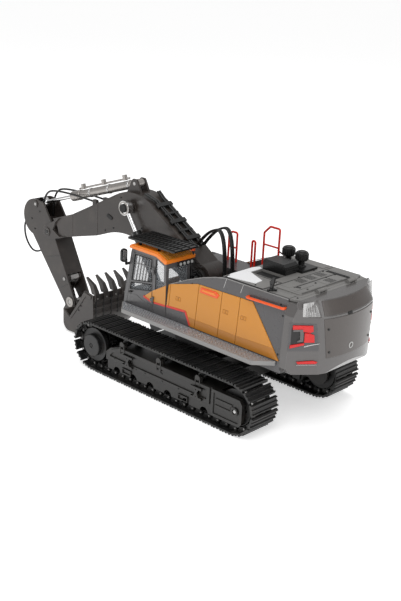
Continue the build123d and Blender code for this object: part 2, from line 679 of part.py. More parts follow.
RAIL_R = 1.3
with BuildPart() as grab_rails:
    for side in (-1, 1):
        with BuildLine() as rail_path:
            FilletPolyline((-95, side * 58.2, 135.5), (-95, side * 62.2, 135.5), (-140.6, side * 62.2, 136.5),
                           (-140.6, side * 58.2, 136.5), radius=1.9)
        with BuildSketch(Plane(origin=rail_path.line @ 0, z_dir=rail_path.line % 0)):
            Circle(RAIL_R)
        sweep(path=rail_path.line)
grab_rails.part.label = "grab_rails"
export_step(grab_rails.part, "parts/grab_rails.step")

RAIL_Y = -50.0
ARCHES = (((30, 119.9), (30, 150), (25, 153.5), (18, 153.5), (18, 119.9)),
          ((-20, SHELF_Z), (-20, 163), (-28, 171), (-41, 171), (-41, SHELF_Z)),
          ((-4, 119.9), (-4, 150), (-8.4, 150), (-8.4, SHELF_Z)))
with BuildPart() as guard_rails:
    for arch in ARCHES:
        with BuildLine() as arch_path:
            FilletPolyline(*[(x, RAIL_Y, z) for x, z in arch], radius=2.0)
        with BuildSketch(Plane(origin=arch_path.line @ 0, z_dir=arch_path.line % 0)):
            Circle(RAIL_R - 0.1)
        sweep(path=arch_path.line)
    for x0, x1, z in ((18, 30, 136.0), (-41, -20, 150.0)):
        with BuildSketch(Plane(origin=(x0, RAIL_Y, z), z_dir=(1, 0, 0))):
            Circle(1.0)
        extrude(amount=x1 - x0)
guard_rails.part.label = "guard_rails"
export_step(guard_rails.part, "parts/guard_rails.step")

# air intake: a tall box beside the sunk well, and two pre-cleaners with knurled caps on a low base
CLEANER_Z = DECK_Z + 2.4
CLEANER_SPOTS = ((-71.0, -29.0), (-90.5, -26.0))
with BuildPart() as intake_box:
    with BuildSketch(Plane.XY.offset(DECK_Z)):
        with Locations((-81, -24.5)):
            Rectangle(44, 25)
    extrude(amount=CLEANER_Z - DECK_Z)
    with BuildSketch(upright(7.2)):
        Polygon((-67.5, DECK_Z), (-67.5, 155.5), (-69.5, 157), (-94, 156.4), (-97, 154), (-97, DECK_Z), align=None)
    extrude(amount=19.2)
    with BuildSketch(Plane.XY.offset(DECK_Z - DECK_T - 2)):
        with Locations(WELL[:2]):
            Rectangle(WELL[2] + 4, WELL[3] + 4)
    extrude(amount=1.9)
intake_box.part.label = "intake_box"
export_step(intake_box.part, "parts/intake_box.step")

with BuildPart() as pre_cleaners:
    for x, y in CLEANER_SPOTS:
        with BuildSketch(Plane(origin=(x, y, CLEANER_Z), x_dir=(1, 0, 0), z_dir=(0, -1, 0))):
            Polygon((0, 0), (4.4, 0), (4.4, 1.2), (3.4, 2), (3.4, 5.6), (5.6, 6.2), (6.4, 7.2), (6.4, 14.2),
                    (5.4, 15.2), (0, 15.6), align=None)
        revolve(axis=Axis((x, y, 0), (0, 0, 1)))
pre_cleaners.part.label = "pre_cleaners"
export_step(pre_cleaners.part, "parts/pre_cleaners.step")

# turning knob outside the hatch: three short feet and a tall thin blade
LATCH = (-116.0, 50.6)
with BuildPart() as deck_latch:
    with BuildSketch(Plane.XY.offset(DECK_Z)):
        with Locations(LATCH):
            Circle(3.2)
            with PolarLocations(0, 3, start_angle=80):
                with Locations((2.6, 0)):
                    Rectangle(5.2, 2.4)
    extrude(amount=1.8)
    with BuildSketch(Plane.XY.offset(DECK_Z + 1.8)):
        with Locations(LATCH):
            Circle(1.7)
    extrude(amount=4)
    with BuildSketch(upright(LATCH[1] + 0.9)):
        with Locations((LATCH[0], DECK_Z)):
            Polygon((-1.8, 4.4), (1.8, 4.4), (2.6, 8.2), (-1.6, 13.6), (-3.4, 12.8), (-2.6, 8.0), align=None)
    extrude(amount=1.8)
deck_latch.part.label = "deck_latch"
export_step(deck_latch.part, "parts/deck_latch.step")

# ---------------------------------------------------------------- cab
CAB_T = 1.8
RAKE = 0.18                   # the cab's front leans back this much per millimetre of height
CAB_SIDE = [(CAB_X0, CAB_Z0), (CAB_X1, CAB_Z0), (CAB_X1, 86), (CAB_X1 - RAKE * (142 - 86), 142),
            (CAB_X1 - RAKE * (142 - 86) - 1.6, CAB_Z1), (26, CAB_Z1), (CAB_X0 + 1, 141)]
CAB_HOLLOW = [(CAB_X0 + CAB_T, CAB_Z0 + 3), (CAB_X1 - CAB_T, CAB_Z0 + 3), (CAB_X1 - CAB_T, 86),
              (CAB_X1 - CAB_T - RAKE * (142 - 86), 142), (64.0, CAB_Z1 - CAB_T), (26.6, CAB_Z1 - CAB_T),
              (CAB_X0 + CAB_T + 1, 139.7)]
DOOR = [(33.0, 84.0), (72.6, 84.0), (62.4, 142.5), (33.0, 142.5)]
UPPER_PANE = [(35.2, 116.0), (65.4, 110.8), (60.6, 140.2), (35.2, 140.8)]
LOWER_PANE = [(35.2, 106.2), (67.4, 100.2), (66.2, 108.0), (35.2, 113.4)]
DOOR_HINGE = (31.6, CAB_Y1 + 1.35)
CAB_MID = (CAB_Y0 + CAB_Y1) / 2
REAR_PANE = [(16.5, 104), (28.5, 104), (28.5, 142), (26.5, 142), (17, 138)]
with BuildPart() as cab_frame:
    with BuildSketch(upright(CAB_Y1)):
        Polygon(*CAB_SIDE, align=None)
    extrude(amount=CAB_Y1 - CAB_Y0)
    with BuildSketch(upright(CAB_Y1 - CAB_T)):
        Polygon(*CAB_HOLLOW, align=None)
    extrude(amount=CAB_Y1 - CAB_Y0 - 2 * CAB_T, mode=Mode.SUBTRACT)
    # door opening and rear quarter window on the left, one long window on the right
    with BuildSketch(upright(CAB_Y1 + 1)):
        Polygon(*DOOR, align=None)
        Polygon(*REAR_PANE, align=None)
    extrude(amount=4, mode=Mode.SUBTRACT)
    with BuildSketch(upright(CAB_Y0 + 3)):
        Polygon((18, 104), (69, 104), (62.4, 141), (28, 141), (18, 136), align=None)
    extrude(amount=5, mode=Mode.SUBTRACT)
    with BuildSketch(Plane.YZ.offset(CAB_X1 + 2)):
        with Locations((CAB_MID, 120)):
            Rectangle(28, 44)
    extrude(amount=-16, mode=Mode.SUBTRACT)
    with BuildSketch(Plane.YZ.offset(CAB_X0 - 1)):
        with Locations((CAB_MID, 122)):
            Rectangle(27, 26)
    extrude(amount=5, mode=Mode.SUBTRACT)
    # hinge lugs for the door
    for z in (96.0, 128.0):
        for lug_z in (z - 2.6, z + 3.1):
            with BuildSketch(Plane.XY.offset(lug_z)):
                with Locations(DOOR_HINGE):
                    Circle(1.2)
                with Locations((DOOR_HINGE[0] - 0.7, CAB_Y1 + 0.6)):
                    Rectangle(2.2, 1.6)
            extrude(amount=2)
        with BuildSketch(Plane.XY.offset(z - 2)):
            with Locations(DOOR_HINGE):
                Circle(0.5)
        extrude(amount=6)
cab_frame.part.label = "cab_frame"
export_step(cab_frame.part, "parts/cab_frame.step")

with BuildPart() as cab_door:
    with BuildSketch(upright(CAB_Y1)):
        Polygon(*DOOR, align=None)
        offset(amount=-0.4)
        Polygon(*UPPER_PANE, align=None, mode=Mode.SUBTRACT)
        Polygon(*LOWER_PANE, align=None, mode=Mode.SUBTRACT)
    extrude(amount=CAB_T)
    # guard bars over the upper window, raked like the front
    with BuildSketch(upright(CAB_Y1)):
        for x in (40.5, 45.0, 49.5, 54.0, 58.5, 63.0):
            foot = 116.0 - 0.1722 * (x - 35.2) - 1.2
            lean = RAKE * (141.0 - foot)
            Polygon((x, foot), (x + 1.1, foot), (x + 1.1 - lean, 141.0), (x - lean, 141.0), align=None)
        Polygon((34.8, 132.4), (62.6, 131.4), (62.6, 130.4), (34.8, 131.4), align=None)
    extrude(amount=0.6)
    for z in (96.0, 128.0):
        with BuildSketch(Plane.XY.offset(z - 0.4)):
            with Locations(DOOR_HINGE):
                Circle(1.2)
            with Locations((DOOR_HINGE[0] + 1.2, DOOR_HINGE[1] + 0.2)):
                Rectangle(2.4, 1.6)
            with Locations((34.0, CAB_Y1 + 1.0)):
                Rectangle(1.2, 2.4)
            with Locations(DOOR_HINGE):
                Circle(0.5 + FIT, mode=Mode.SUBTRACT)
        extrude(amount=3.2)
cab_door.part.label = "cab_door"
export_step(cab_door.part, "parts/cab_door.step")

with BuildPart() as door_glass:
    for pane in (UPPER_PANE, LOWER_PANE):
        with BuildSketch(upright(CAB_Y1 - 0.9)):
            Polygon(*pane, align=None)
            offset(amount=-0.05)
        extrude(amount=0.7)
door_glass.part.label = "door_glass"
export_step(door_glass.part, "parts/door_glass.step")

with BuildPart() as cab_windows:
    with BuildSketch(upright(CAB_Y1 - 0.6)):
        Polygon(*[(x, z) for x, z in REAR_PANE], align=None)
        offset(amount=-0.05)
    extrude(amount=0.7)
    with BuildSketch(upright(CAB_Y0 + 1.3)):
        Polygon((18, 104), (69, 104), (62.4, 141), (28, 141), (18, 136), align=None)
        offset(amount=-0.05)
    extrude(amount=0.7)
    with BuildSketch(Plane(origin=(CAB_X1 - 0.9 - RAKE * (120 - 86), CAB_MID, 120), x_dir=(0, 1, 0),
                           z_dir=(1, 0, RAKE))):
        Rectangle(27.9, 44.2)
    extrude(amount=-0.7)
    with BuildSketch(Plane.YZ.offset(CAB_X0 + 0.8)):
        with Locations((CAB_MID, 122)):
            Rectangle(26.9, 25.9)
    extrude(amount=0.7)
cab_windows.part.label = "cab_windows"
export_step(cab_windows.part, "parts/cab_windows.step")

ROOF_Y0, ROOF_Y1 = 22.5, 64.0
with BuildPart() as cab_roof:
    with BuildSketch(upright(ROOF_Y1)):
        Polygon((68, CAB_Z1 + 0.05), (67.6, 149), (64.8, 150.6), (27, 150.6), (11.5, 144.6), (12, 141.2),
                (13.5, 140.85), (26, CAB_Z1 + 0.05), align=None)
    extrude(amount=ROOF_Y1 - ROOF_Y0)
    fillet(cab_roof.faces().filter_by(Axis.Y).edges().filter_by(Axis.X), 1.2)
    # shallow tray in the roof top
    with BuildSketch(Plane.XY.offset(150.6)):
        with Locations((44, (ROOF_Y0 + ROOF_Y1) / 2)):
            RectangleRounded(36, 34, 3)
    extrude(amount=-1.2, mode=Mode.SUBTRACT)
cab_roof.part.label = "cab_roof"
export_step(cab_roof.part, "parts/cab_roof.step")

GUARD_Z = 154.0
GUARD_MID = (40.0, 42.5)
TRAY_Z = 149.4
with BuildPart() as roof_guard:
    with BuildSketch(Plane.XY.offset(GUARD_Z)):
        with Locations(GUARD_MID):
            RectangleRounded(70, 38, 2)
            with GridLocations(5.4, 11, 12, 3):
                Rectangle(2.2, 8.6, mode=Mode.SUBTRACT)
    extrude(amount=1.8)
    with BuildSketch(Plane.XY.offset(TRAY_Z + 0.05)):
        with Locations((46, 43)):
            with GridLocations(28, 26, 2, 2):
                Circle(1.6)
    extrude(amount=GUARD_Z - TRAY_Z - 0.05)
roof_guard.part.label = "roof_guard"
export_step(roof_guard.part, "parts/roof_guard.step")

with BuildPart() as seat:
    with BuildSketch(Plane.XY.offset(CAB_Z0 + 3.1)):
        with Locations((30, CAB_MID)):
            RectangleRounded(13, 13, 2)
    extrude(amount=7)
    with BuildSketch(upright(CAB_MID + 8)):
        with BuildLine():
            Polyline((22, 88.3), (39, 88.3), (40, 91), (38.5, 93.5), (27, 92.5), (24, 116), (22.5, 121),
                     (18.8, 121), (18.8, 116), (21, 94), close=True)
        make_face()
    extrude(amount=16)
    fillet(seat.edges().filter_by(Axis.Y).group_by(Axis.Z)[-1], 1.2)
seat.part.label = "seat"
export_step(seat.part, "parts/seat.step")

with BuildPart() as control_console:
    for y in (CAB_MID - 11.6, CAB_MID + 11.6):
        with BuildSketch(upright(y + 2.2)):
            Polygon((24, CAB_Z0 + 3.1), (44, CAB_Z0 + 3.1), (46, 97), (40, 99), (24, 97), align=None)
        extrude(amount=4.4)
        with BuildSketch(Plane(origin=(41, y, 97.5), z_dir=(0.25, 0, 1))):
            Circle(0.9)
        extrude(amount=10)
        with Locations((43.4, y, 108)):
            Sphere(1.9)
    with BuildSketch(upright(CAB_MID + 6)):
        Polygon((58, CAB_Z0 + 3.1), (66, CAB_Z0 + 3.1), (66, 84), (60, 86), align=None)
    extrude(amount=12)
control_console.part.label = "control_console"
export_step(control_console.part, "parts/control_console.step")

MIRROR_X = CAB_X1 - RAKE * (126.8 - 86) + 0.05
with BuildPart() as cab_mirror:
    with BuildSketch(Plane.YZ.offset(MIRROR_X + 1.15)):
        with Locations((68.4, 137.4)):
            RectangleRounded(8.0, 14.6, 3.4)
    extrude(amount=2.6)
    with BuildSketch(Plane.YZ.offset(MIRROR_X)):
        with Locations((63, 128)):
            Rectangle(8, 2.4)
        with Locations((66.4, 130.5)):
            Rectangle(2.4, 6)
    extrude(amount=1.6)
cab_mirror.part.label = "cab_mirror"
export_step(cab_mirror.part, "parts/cab_mirror.step")

# ---------------------------------------------------------------- boom
NOSE_CLEAR = 19.6            # the stick's shoulder turns inside this radius of the nose pivot
with BuildSketch() as boom_outline:
    with BuildLine():
        Polyline((12, 101), (60, 117.5), (97, 131))
        ThreePointArc((97, 131), (128, 137.5), (158, 132.5))
        Polyline((158, 132.5), (179, 124.5), (247, 106.5), (258, 104), (262, 104), (262, 125.4),
                 (260.6, 127.2), (257, 128.5), (224, 140.5), (179, 163.5), (148, 179.6))
        ThreePointArc((148, 179.6), (121, 187.3), (91, 181))
        Polyline((91, 181), (42, 151.5), (12, 131))
        ThreePointArc((12, 131), (-3, 116), (12, 101))
    make_face()
    with Locations(NOSE):
        Circle(NOSE_CLEAR, mode=Mode.SUBTRACT)
with BuildSketch() as boom_hollow:
    add(boom_outline.sketch_local)
    offset(amount=-WALL, mode=Mode.REPLACE)
    with Locations(FOOT):
        Circle(9, mode=Mode.SUBTRACT)

DOUBLER = [(276.6, 114.1), (247, 130.9), (254.4, 123.9), (259.4, 113.9), (247.1, 107.7), (236.3, 109.6),
           (259.5, 102.2), (272, 101)]
for name, side in (("boom_half_left", 1), ("boom_half_right", -1)):
    with BuildPart() as boom_half:
        for plane_y, sketch, mode in ((BOOM_Y, boom_outline, Mode.ADD),
                                      (BOOM_Y - WALL, boom_hollow, Mode.SUBTRACT)):
            with BuildSketch(upright(side * plane_y)):
                add(sketch.sketch_local)
            extrude(amount=side * plane_y, mode=mode)
        # nose fork plate, standing proud of the boom and passing outside the stick
        with BuildSketch(upright(side * (BOOM_Y + 1.1))):
            with Locations(NOSE):
                Circle(8.4)
            Polygon(*DOUBLER, align=None)
            with Locations(NOSE):
                Circle(3.02, mode=Mode.SUBTRACT)
        extrude(amount=1.1, both=True)
        # weld seams round the box section
        for x0, z0, x1, z1 in ((224, 112.8, 224, 140.3), (179, 124.8, 179, 163.3)):
            with BuildSketch(upright(side * BOOM_Y)):
                with Locations(((x0 + x1) / 2, (z0 + z1) / 2)):
                    Rectangle(1.0, z1 - z0)
            extrude(amount=0.3, both=True)
        # boss and pin for the boom cylinder's rod eye
        with BuildSketch(upright(side * (BOOM_Y + 1.5))):
            with Locations(BOOM_EYE):
                Circle(7)
        extrude(amount=1.7, both=True)
        with BuildSketch(upright(side * (BOOM_Y + 5))):
            with Locations(BOOM_EYE):
                Circle(2)
        extrude(amount=4.6, both=True)
        with BuildSketch(upright(side * (BOOM_Y - 6))):
            with Locations(FOOT):
                Circle(3.52)
        extrude(amount=15, both=True, mode=Mode.SUBTRACT)
        # half of the stick cylinder's bracket on the boom's back
        with BuildSketch(upright(side * 6.0)):
            Polygon((113, 186.0), (136, 184.0), (130, 196), (127, 201), (121, 201), (118, 196), align=None)
            with Locations(STICK_LUG):
                Circle(2.02, mode=Mode.SUBTRACT)
        extrude(amount=1.3, both=True)
        # bracket where the stick's hoses leave the boom
        with BuildSketch(upright(side * 8.0)):
            Polygon((184, 158.8), (191.8, 154.8), (191.8, 164.5), (186, 164.5), align=None)
        extrude(amount=2, both=True)
    boom_half.part.label = name
    export_step(boom_half.part, f"parts/{name}.step")

with BuildPart() as boom_pins:
    for spot, radius, reach in ((FOOT, 3.5, 19.6), (NOSE, 3.0, 16.4), (STICK_LUG, 2.0, 7.6)):
        with BuildSketch(upright(0)):
            with Locations(spot):
                Circle(radius)
        extrude(amount=reach, both=True)
boom_pins.part.label = "boom_pins"
export_step(boom_pins.part, "parts/boom_pins.step")

# rigid pipes laid along the boom's back, with their clamps
PIPE_R = 1.2
PIPE_YS = (-7.5, -4.5, 4.5, 7.5)
PIPE_Z = 2.6                 # height of the pipes above the boom's back
PIPE_LINE = [(30, 143.4), (91, 181.0), (104, 186.6)]
with BuildPart() as boom_pipes:
    for y in PIPE_YS:
        with BuildLine() as pipe_path:
            FilletPolyline(*[(x - 1.4, y + (4 if y > 0 else -4) * (i == 2), z + PIPE_Z)
                             for i, (x, z) in enumerate(PIPE_LINE)], radius=12)
        with BuildSketch(Plane(origin=pipe_path.line @ 0, z_dir=pipe_path.line % 0)):
            Circle(PIPE_R)
        sweep(path=pipe_path.line)
    for x, z in ((40, 150.1), (62, 163.6), (84, 177.1)):
        with BuildSketch(Plane(origin=(x, 0, z), x_dir=(0, 1, 0), z_dir=(61, 0, 37.6))):
            with Locations((0, 2.4)):
                Rectangle(21, 4.4)
        extrude(amount=2.5, both=True)
boom_pipes.part.label = "boom_pipes"
export_step(boom_pipes.part, "parts/boom_pipes.step")

# ---------------------------------------------------------------- boom cylinders
BOOM_CYL = distance(BOOM_LUG, BOOM_EYE)
with BuildPart() as boom_barrels:
    for side in (-1, 1):
        y = side * CYL_Y
        with BuildSketch(upright(y)):
            with Locations(BOOM_LUG):
                Circle(5.5)
        extrude(amount=3, both=True)
        barrel_axis = along(BOOM_LUG, BOOM_EYE, y)
        for start, end, radius in ((3.0, 10.0, 2.9), (9.0, 79.0, 5.2), (75.0, 82.0, 5.5)):
            with BuildSketch(barrel_axis.offset(start)):
                Circle(radius)
            extrude(amount=end - start)
        with BuildSketch(barrel_axis.offset(18)):
            Circle(2.6 + FIT)
        extrude(amount=70, mode=Mode.SUBTRACT)
        with BuildSketch(upright(y)):
            with Locations(BOOM_LUG):
                Circle(2 + FIT)
        extrude(amount=4, both=True, mode=Mode.SUBTRACT)
boom_barrels.part.label = "boom_barrels"
export_step(boom_barrels.part, "parts/boom_barrels.step")

EYE_SLACK = 6.4              # bore of a rod eye that swallows the linkage's small error
with BuildPart() as boom_rods:
    for side in (-1, 1):
        y = side * CYL_Y
        with BuildSketch(along(BOOM_LUG, BOOM_EYE, y).offset(42)):
            Circle(2.6)
        extrude(amount=BOOM_CYL - 42 - 6.5)
        with BuildSketch(upright(side * (CYL_Y + 0.5))):
            with Locations(BOOM_EYE):
                Circle(EYE_SLACK + 1.8)
        extrude(amount=3.5, both=True)
        with BuildSketch(upright(side * (CYL_Y - 0.6))):
            with Locations(BOOM_EYE):
                Circle(EYE_SLACK)
        extrude(amount=3.5, both=True, mode=Mode.SUBTRACT)
boom_rods.part.label = "boom_rods"
export_step(boom_rods.part, "parts/boom_rods.step")

# ---------------------------------------------------------------- stick cylinder
STICK_CYL = distance(STICK_LUG, STICK_EYE)
stick_axis = along(STICK_LUG, STICK_EYE, 0)
with BuildPart() as stick_barrel:
    with BuildSketch(upright(0)):
        with Locations(STICK_LUG):
            Circle(4.6)
    extrude(amount=4.3, both=True)
    for start, end, radius in ((3.0, 10.0, 4.2), (9.0, 112.0, 5.0), (107.0, 120.0, 6.2)):
        with BuildSketch(stick_axis.offset(start)):
            Circle(radius)
        extrude(amount=end - start)
    with BuildSketch(stick_axis.offset(30)):
        Circle(2.2 + FIT)
    extrude(amount=100, mode=Mode.SUBTRACT)
    with BuildSketch(upright(0)):
        with Locations(STICK_LUG):
            Circle(2 + FIT)
    extrude(amount=5, both=True, mode=Mode.SUBTRACT)
    # oil pipe clamped along the top of the barrel
    pipe_axis = Plane(origin=stick_axis.origin + Vector(2.37, 0, 7.02), x_dir=(0, 1, 0), z_dir=stick_axis.z_dir)
    with BuildSketch(pipe_axis.offset(14)):
        Circle(1.1)
    extrude(amount=92)
    for start in (20, 58, 96):
        with BuildSketch(pipe_axis.offset(start)):
            with Locations((0, 1.6)):
                Rectangle(4, 6.4)
        extrude(amount=4)
    with BuildSketch(stick_axis.offset(30)):
        Circle(2.2 + FIT)
    extrude(amount=76, mode=Mode.SUBTRACT)
stick_barrel.part.label = "stick_barrel"
export_step(stick_barrel.part, "parts/stick_barrel.step")

with BuildPart() as stick_rod:
    with BuildSketch(stick_axis.offset(72)):
        Circle(2.2)
    extrude(amount=STICK_CYL - 72 - 6.2)
    with BuildSketch(upright(0)):
        with Locations(STICK_EYE):
            Circle(7.2)
    extrude(amount=3.5, both=True)
    with BuildSketch(upright(0)):
        with Locations(STICK_EYE):
            Circle(5.4)
    extrude(amount=5, both=True, mode=Mode.SUBTRACT)
stick_rod.part.label = "stick_rod"
export_step(stick_rod.part, "parts/stick_rod.step")

# ---------------------------------------------------------------- stick
HEAD = (297.0, 121.0)
HEAD_R = 23.0
with BuildSketch() as stick_outline:
    with Locations(HEAD):
        Circle(HEAD_R)
    with BuildLine():
        Polyline((257.5, 101), (258, 112), (268, 124), (281, 142), (300, 143.5), (318, 130), (310, 108),
                 (236.5, 21), (231, 19.4), (222, 24), (220.5, 31), close=True)
    make_face()
    with Locations(TIP):
        Circle(8.6)
    # shoulder behind the pivot stays inside the boom nose's hollow
    with BuildLine():
        Polyline((240, 126), (240, 160), (281.4, 160), (281.4, 142.5), (270, 126.8), (262, 124), close=True)
    make_face(mode=Mode.SUBTRACT)
with BuildSketch() as stick_hollow:
    add(stick_outline.sketch_local)
    offset(amount=-WALL, mode=Mode.REPLACE)
    # open at the head for the rod eye, and at the foot for the bucket linkage
    Polygon((266, 119), (266, 150), (306, 150), (307, 134), (296, 127), (283, 123), align=None)
    Polygon((200, 0), (290, 0), (290, 78), (256, 78), (241, 61), (200, 61), align=None)
with BuildPart() as stick_frame:
    for half, sketch, mode in ((STICK_Y, stick_outline, Mode.ADD), (STICK_Y - WALL, stick_hollow, Mode.SUBTRACT)):
        with BuildSketch(upright(0)):
            add(sketch.sketch_local)
        extrude(amount=half, both=True, mode=mode)
    # block inside the head that the hoses plug into
    with BuildSketch(upright(0)):
        with Locations((288, 118)):
            Rectangle(8, 5)
    extrude(amount=STICK_Y - WALL, both=True)
    for spot, radius in ((NOSE, 3.0 + FIT), (TIP, 2.52), (ROCKER, 2.02), (STICK_EYE, 2.02)):
        with BuildSketch(upright(0)):
            with Locations(spot):
                Circle(radius)
        extrude(amount=20, both=True, mode=Mode.SUBTRACT)
stick_frame.part.label = "stick_frame"
export_step(stick_frame.part, "parts/stick_frame.step")

with BuildPart() as stick_pins:
    for spot, radius in ((TIP, 2.5), (ROCKER, 2.0), (STICK_EYE, 2.0)):
        with BuildSketch(upright(0)):
            with Locations(spot):
                Circle(radius)
        extrude(amount=STICK_Y + 0.8, both=True)
stick_pins.part.label = "stick_pins"
export_step(stick_pins.part, "parts/stick_pins.step")

# geared motor inside the stick that turns the rocker
STICK_RUN = along(ROCKER, (ROCKER[0] + 37, ROCKER[1] + 70), 0)
with BuildPart() as bucket_drive:
    with BuildSketch(STICK_RUN.offset(3)):
        Rectangle(12, 7)
    extrude(amount=22)
    with BuildSketch(STICK_RUN.offset(23)):
        with Locations((0, -2.2)):
            Rectangle(12, 11.4)
    extrude(amount=8)
    with BuildSketch(STICK_RUN.offset(31)):
        with Locations((0, -2.2)):
            Circle(5.4)
    extrude(amount=16)
    with BuildSketch(upright(0)):
        with Locations(ROCKER):
            Circle(5.0)
    extrude(amount=6.0, both=True)
    with BuildSketch(upright(0)):
        with Locations(ROCKER):
            Circle(4.0 + FIT)
    extrude(amount=10, both=True, mode=Mode.SUBTRACT)
bucket_drive.part.label = "bucket_drive"
export_step(bucket_drive.part, "parts/bucket_drive.step")

# ---------------------------------------------------------------- bucket linkage
PLATE_Y0, PLATE_Y1 = 6.8, 10.2
ROCKER_LEN = distance(ROCKER, LINK_EYE)
LINK_LEN = distance(LINK_EYE, BUCKET_EYE)


def bar_angle(a, b):
    return degrees(atan2(b[1] - a[1], b[0] - a[0]))


with BuildPart() as rocker_link:
    for side in (-1, 1):
        with BuildSketch(upright(side * (PLATE_Y0 + PLATE_Y1) / 2)):
            with Locations(((ROCKER[0] + LINK_EYE[0]) / 2, (ROCKER[1] + LINK_EYE[1]) / 2)):
                SlotCenterToCenter(ROCKER_LEN, 10, rotation=bar_angle(ROCKER, LINK_EYE))
            with Locations(ROCKER, LINK_EYE):
                Circle(2 + FIT, mode=Mode.SUBTRACT)
        extrude(amount=(PLATE_Y1 - PLATE_Y0) / 2, both=True)
    with BuildSketch(upright(0)):
        with Locations(ROCKER):
            Circle(4.0)
            Circle(2 + FIT, mode=Mode.SUBTRACT)
    extrude(amount=PLATE_Y0, both=True)
rocker_link.part.label = "rocker_link"
export_step(rocker_link.part, "parts/rocker_link.step")

with BuildPart() as h_link:
    for side in (-1, 1):
        with BuildSketch(upright(side * 4.4)):
            with Locations(((LINK_EYE[0] + BUCKET_EYE[0]) / 2, (LINK_EYE[1] + BUCKET_EYE[1]) / 2)):
                SlotCenterToCenter(LINK_LEN, 8.4, rotation=bar_angle(LINK_EYE, BUCKET_EYE))
        extrude(amount=2, both=True)
    with BuildSketch(upright(0)):
        with Locations(((LINK_EYE[0] + BUCKET_EYE[0]) / 2, (LINK_EYE[1] + BUCKET_EYE[1]) / 2)):
            Rectangle(8, 7, rotation=bar_angle(LINK_EYE, BUCKET_EYE))
    extrude(amount=4, both=True)
    with BuildSketch(upright(0)):
        with Locations(LINK_EYE, BUCKET_EYE):
            Circle(2)
    extrude(amount=PLATE_Y1 + 0.2, both=True)
h_link.part.label = "h_link"
export_step(h_link.part, "parts/h_link.step")

# ---------------------------------------------------------------- bucket
SHEET = 2.2
MOUTH_LIP = (164.0, 58.0)
with BuildPart() as bucket:
    with BuildLine(mode=Mode.PRIVATE) as bucket_wrap:
        Polyline(MOUTH_LIP, (163.2, 34))
        ThreePointArc((163.2, 34), (171, 13.5), (190, 3.8))
        Polyline((190, 3.8), (206, 3.2))
        ThreePointArc((206, 3.2), (213.5, 6), (216, 13))
        Polyline((216, 13), (216, 27))
    with BuildSketch(upright(0)):
        trace(bucket_wrap.line, line_width=SHEET)
    extrude(amount=BUCKET_Y, both=True)
    for side in (-1, 1):
        with BuildSketch(upright(side * (BUCKET_Y - SHEET / 2))):
            with BuildLine():
                Polyline(MOUTH_LIP, (163.2, 34))
                ThreePointArc((163.2, 34), (171, 13.5), (190, 3.8))
                Polyline((190, 3.8), (206, 3.2))
                ThreePointArc((206, 3.2), (213.5, 6), (216, 13))
                Polyline((216, 13), (216, 27), (206, 19.5), (192, 39), (178, 60.5), MOUTH_LIP)
            make_face()
        extrude(amount=SHEET / 2, both=True)
        # hinge ears between the stick's side plates
        with BuildSketch(upright(side * (PLATE_Y0 + PLATE_Y1) / 2)):
            with Locations(TIP):
                Circle(7.4)
            with Locations(BUCKET_EYE):
                Circle(5.6)
            Polygon((216.5, 25), (226, 34.6), (236, 29.5), (245, 15), (239, 7.6), (216.5, 6), align=None)
            with Locations(TIP):
                Circle(2.5 + FIT, mode=Mode.SUBTRACT)
            with Locations(BUCKET_EYE):
                Circle(2.35, mode=Mode.SUBTRACT)
        extrude(amount=(PLATE_Y1 - PLATE_Y0) / 2, both=True)
    # wear strips across the floor
    for z in (50.0, 42.0, 34.0):
        with BuildSketch(upright(0)):
            with Locations((162.2, z)):
                Rectangle(1.6, 2.4)
        extrude(amount=BUCKET_Y - 1, both=True)
bucket.part.label = "bucket"
export_step(bucket.part, "parts/bucket.step")

TOOTH_PITCH = 14.0
with BuildPart() as bucket_teeth:
    for i in range(-2, 3):
        with BuildSketch(upright(i * TOOTH_PITCH)):
            Polygon((160.0, 52), (162.6, 52), (162.8, 59.4), (166.8, 59.4), (170.4, 66), (179.6, 76.0),
                    (178.6, 76.9), (165.5, 70), (160.6, 61), align=None)
        extrude(amount=3.1, both=True)
        with BuildSketch(Plane.YZ.offset(155)):
            for side in (-1, 1):
                with Locations((i * TOOTH_PITCH, 0)):
                    Polygon((side * 3.2, 62), (side * 3.2, 80), (side * 0.9, 80), align=None)
        extrude(amount=40, mode=Mode.SUBTRACT)
bucket_teeth.part.label = "bucket_teeth"
export_step(bucket_teeth.part, "parts/bucket_teeth.step")

# ---------------------------------------------------------------- hydraulic hoses
HOSE_R = 1.2
FITTING_GAP = 0.2            # end of a hose to the face it is plugged into


def bend_radii(route):
    """Radius of the arc at each inner corner: as large as 0.45 of its shorter run allows."""
    points = [Vector(*point) for point in route]
    radii = []
    for before, corner, after in zip(points, points[1:], points[2:]):
        shorter = min((corner - before).length, (after - corner).length)
        half_turn = radians((corner - before).get_angle(after - corner)) / 2
        radii.append(0.45 * shorter / tan(half_turn))
    return radii


HOSES = {
    "house_hoses": [[(26.6, y, 146.6), (8.0, y, 171.4), (-16.0, y, 171.4), (-16.0, y, SHELF_Z + FITTING_GAP)]
                    for y in PIPE_YS],
    "stick_hoses": [[(192.0, y, 162.0), (262.0, y, 164.0), (288.0, y, 150.0), (288.0, y, 120.7)]
                    for y in (-8.0, 8.0)],
    "front_hose": [[(319.5, 0.0, 115.0), (336.0, 0.0, 110.6), (336.0, 0.0, 82.0), (312.0, 0.0, 64.6),
                    (289.6, 0.0, 83.5)]],
}
for name, routes in HOSES.items():
    with BuildPart() as hoses:
        for route in routes:
            with BuildLine() as run:
                FilletPolyline(*route, radius=bend_radii(route))
            with BuildSketch(Plane(origin=run.line @ 0, z_dir=run.line % 0)):
                Circle(HOSE_R)
            sweep(path=run.line)
    print(name, "bend radii", [round(radius, 1) for radius in bend_radii(routes[0])],
          "length", round(sum(edge.length for edge in run.edges()), 1))
    hoses.part.label = name
    export_step(hoses.part, f"parts/{name}.step")
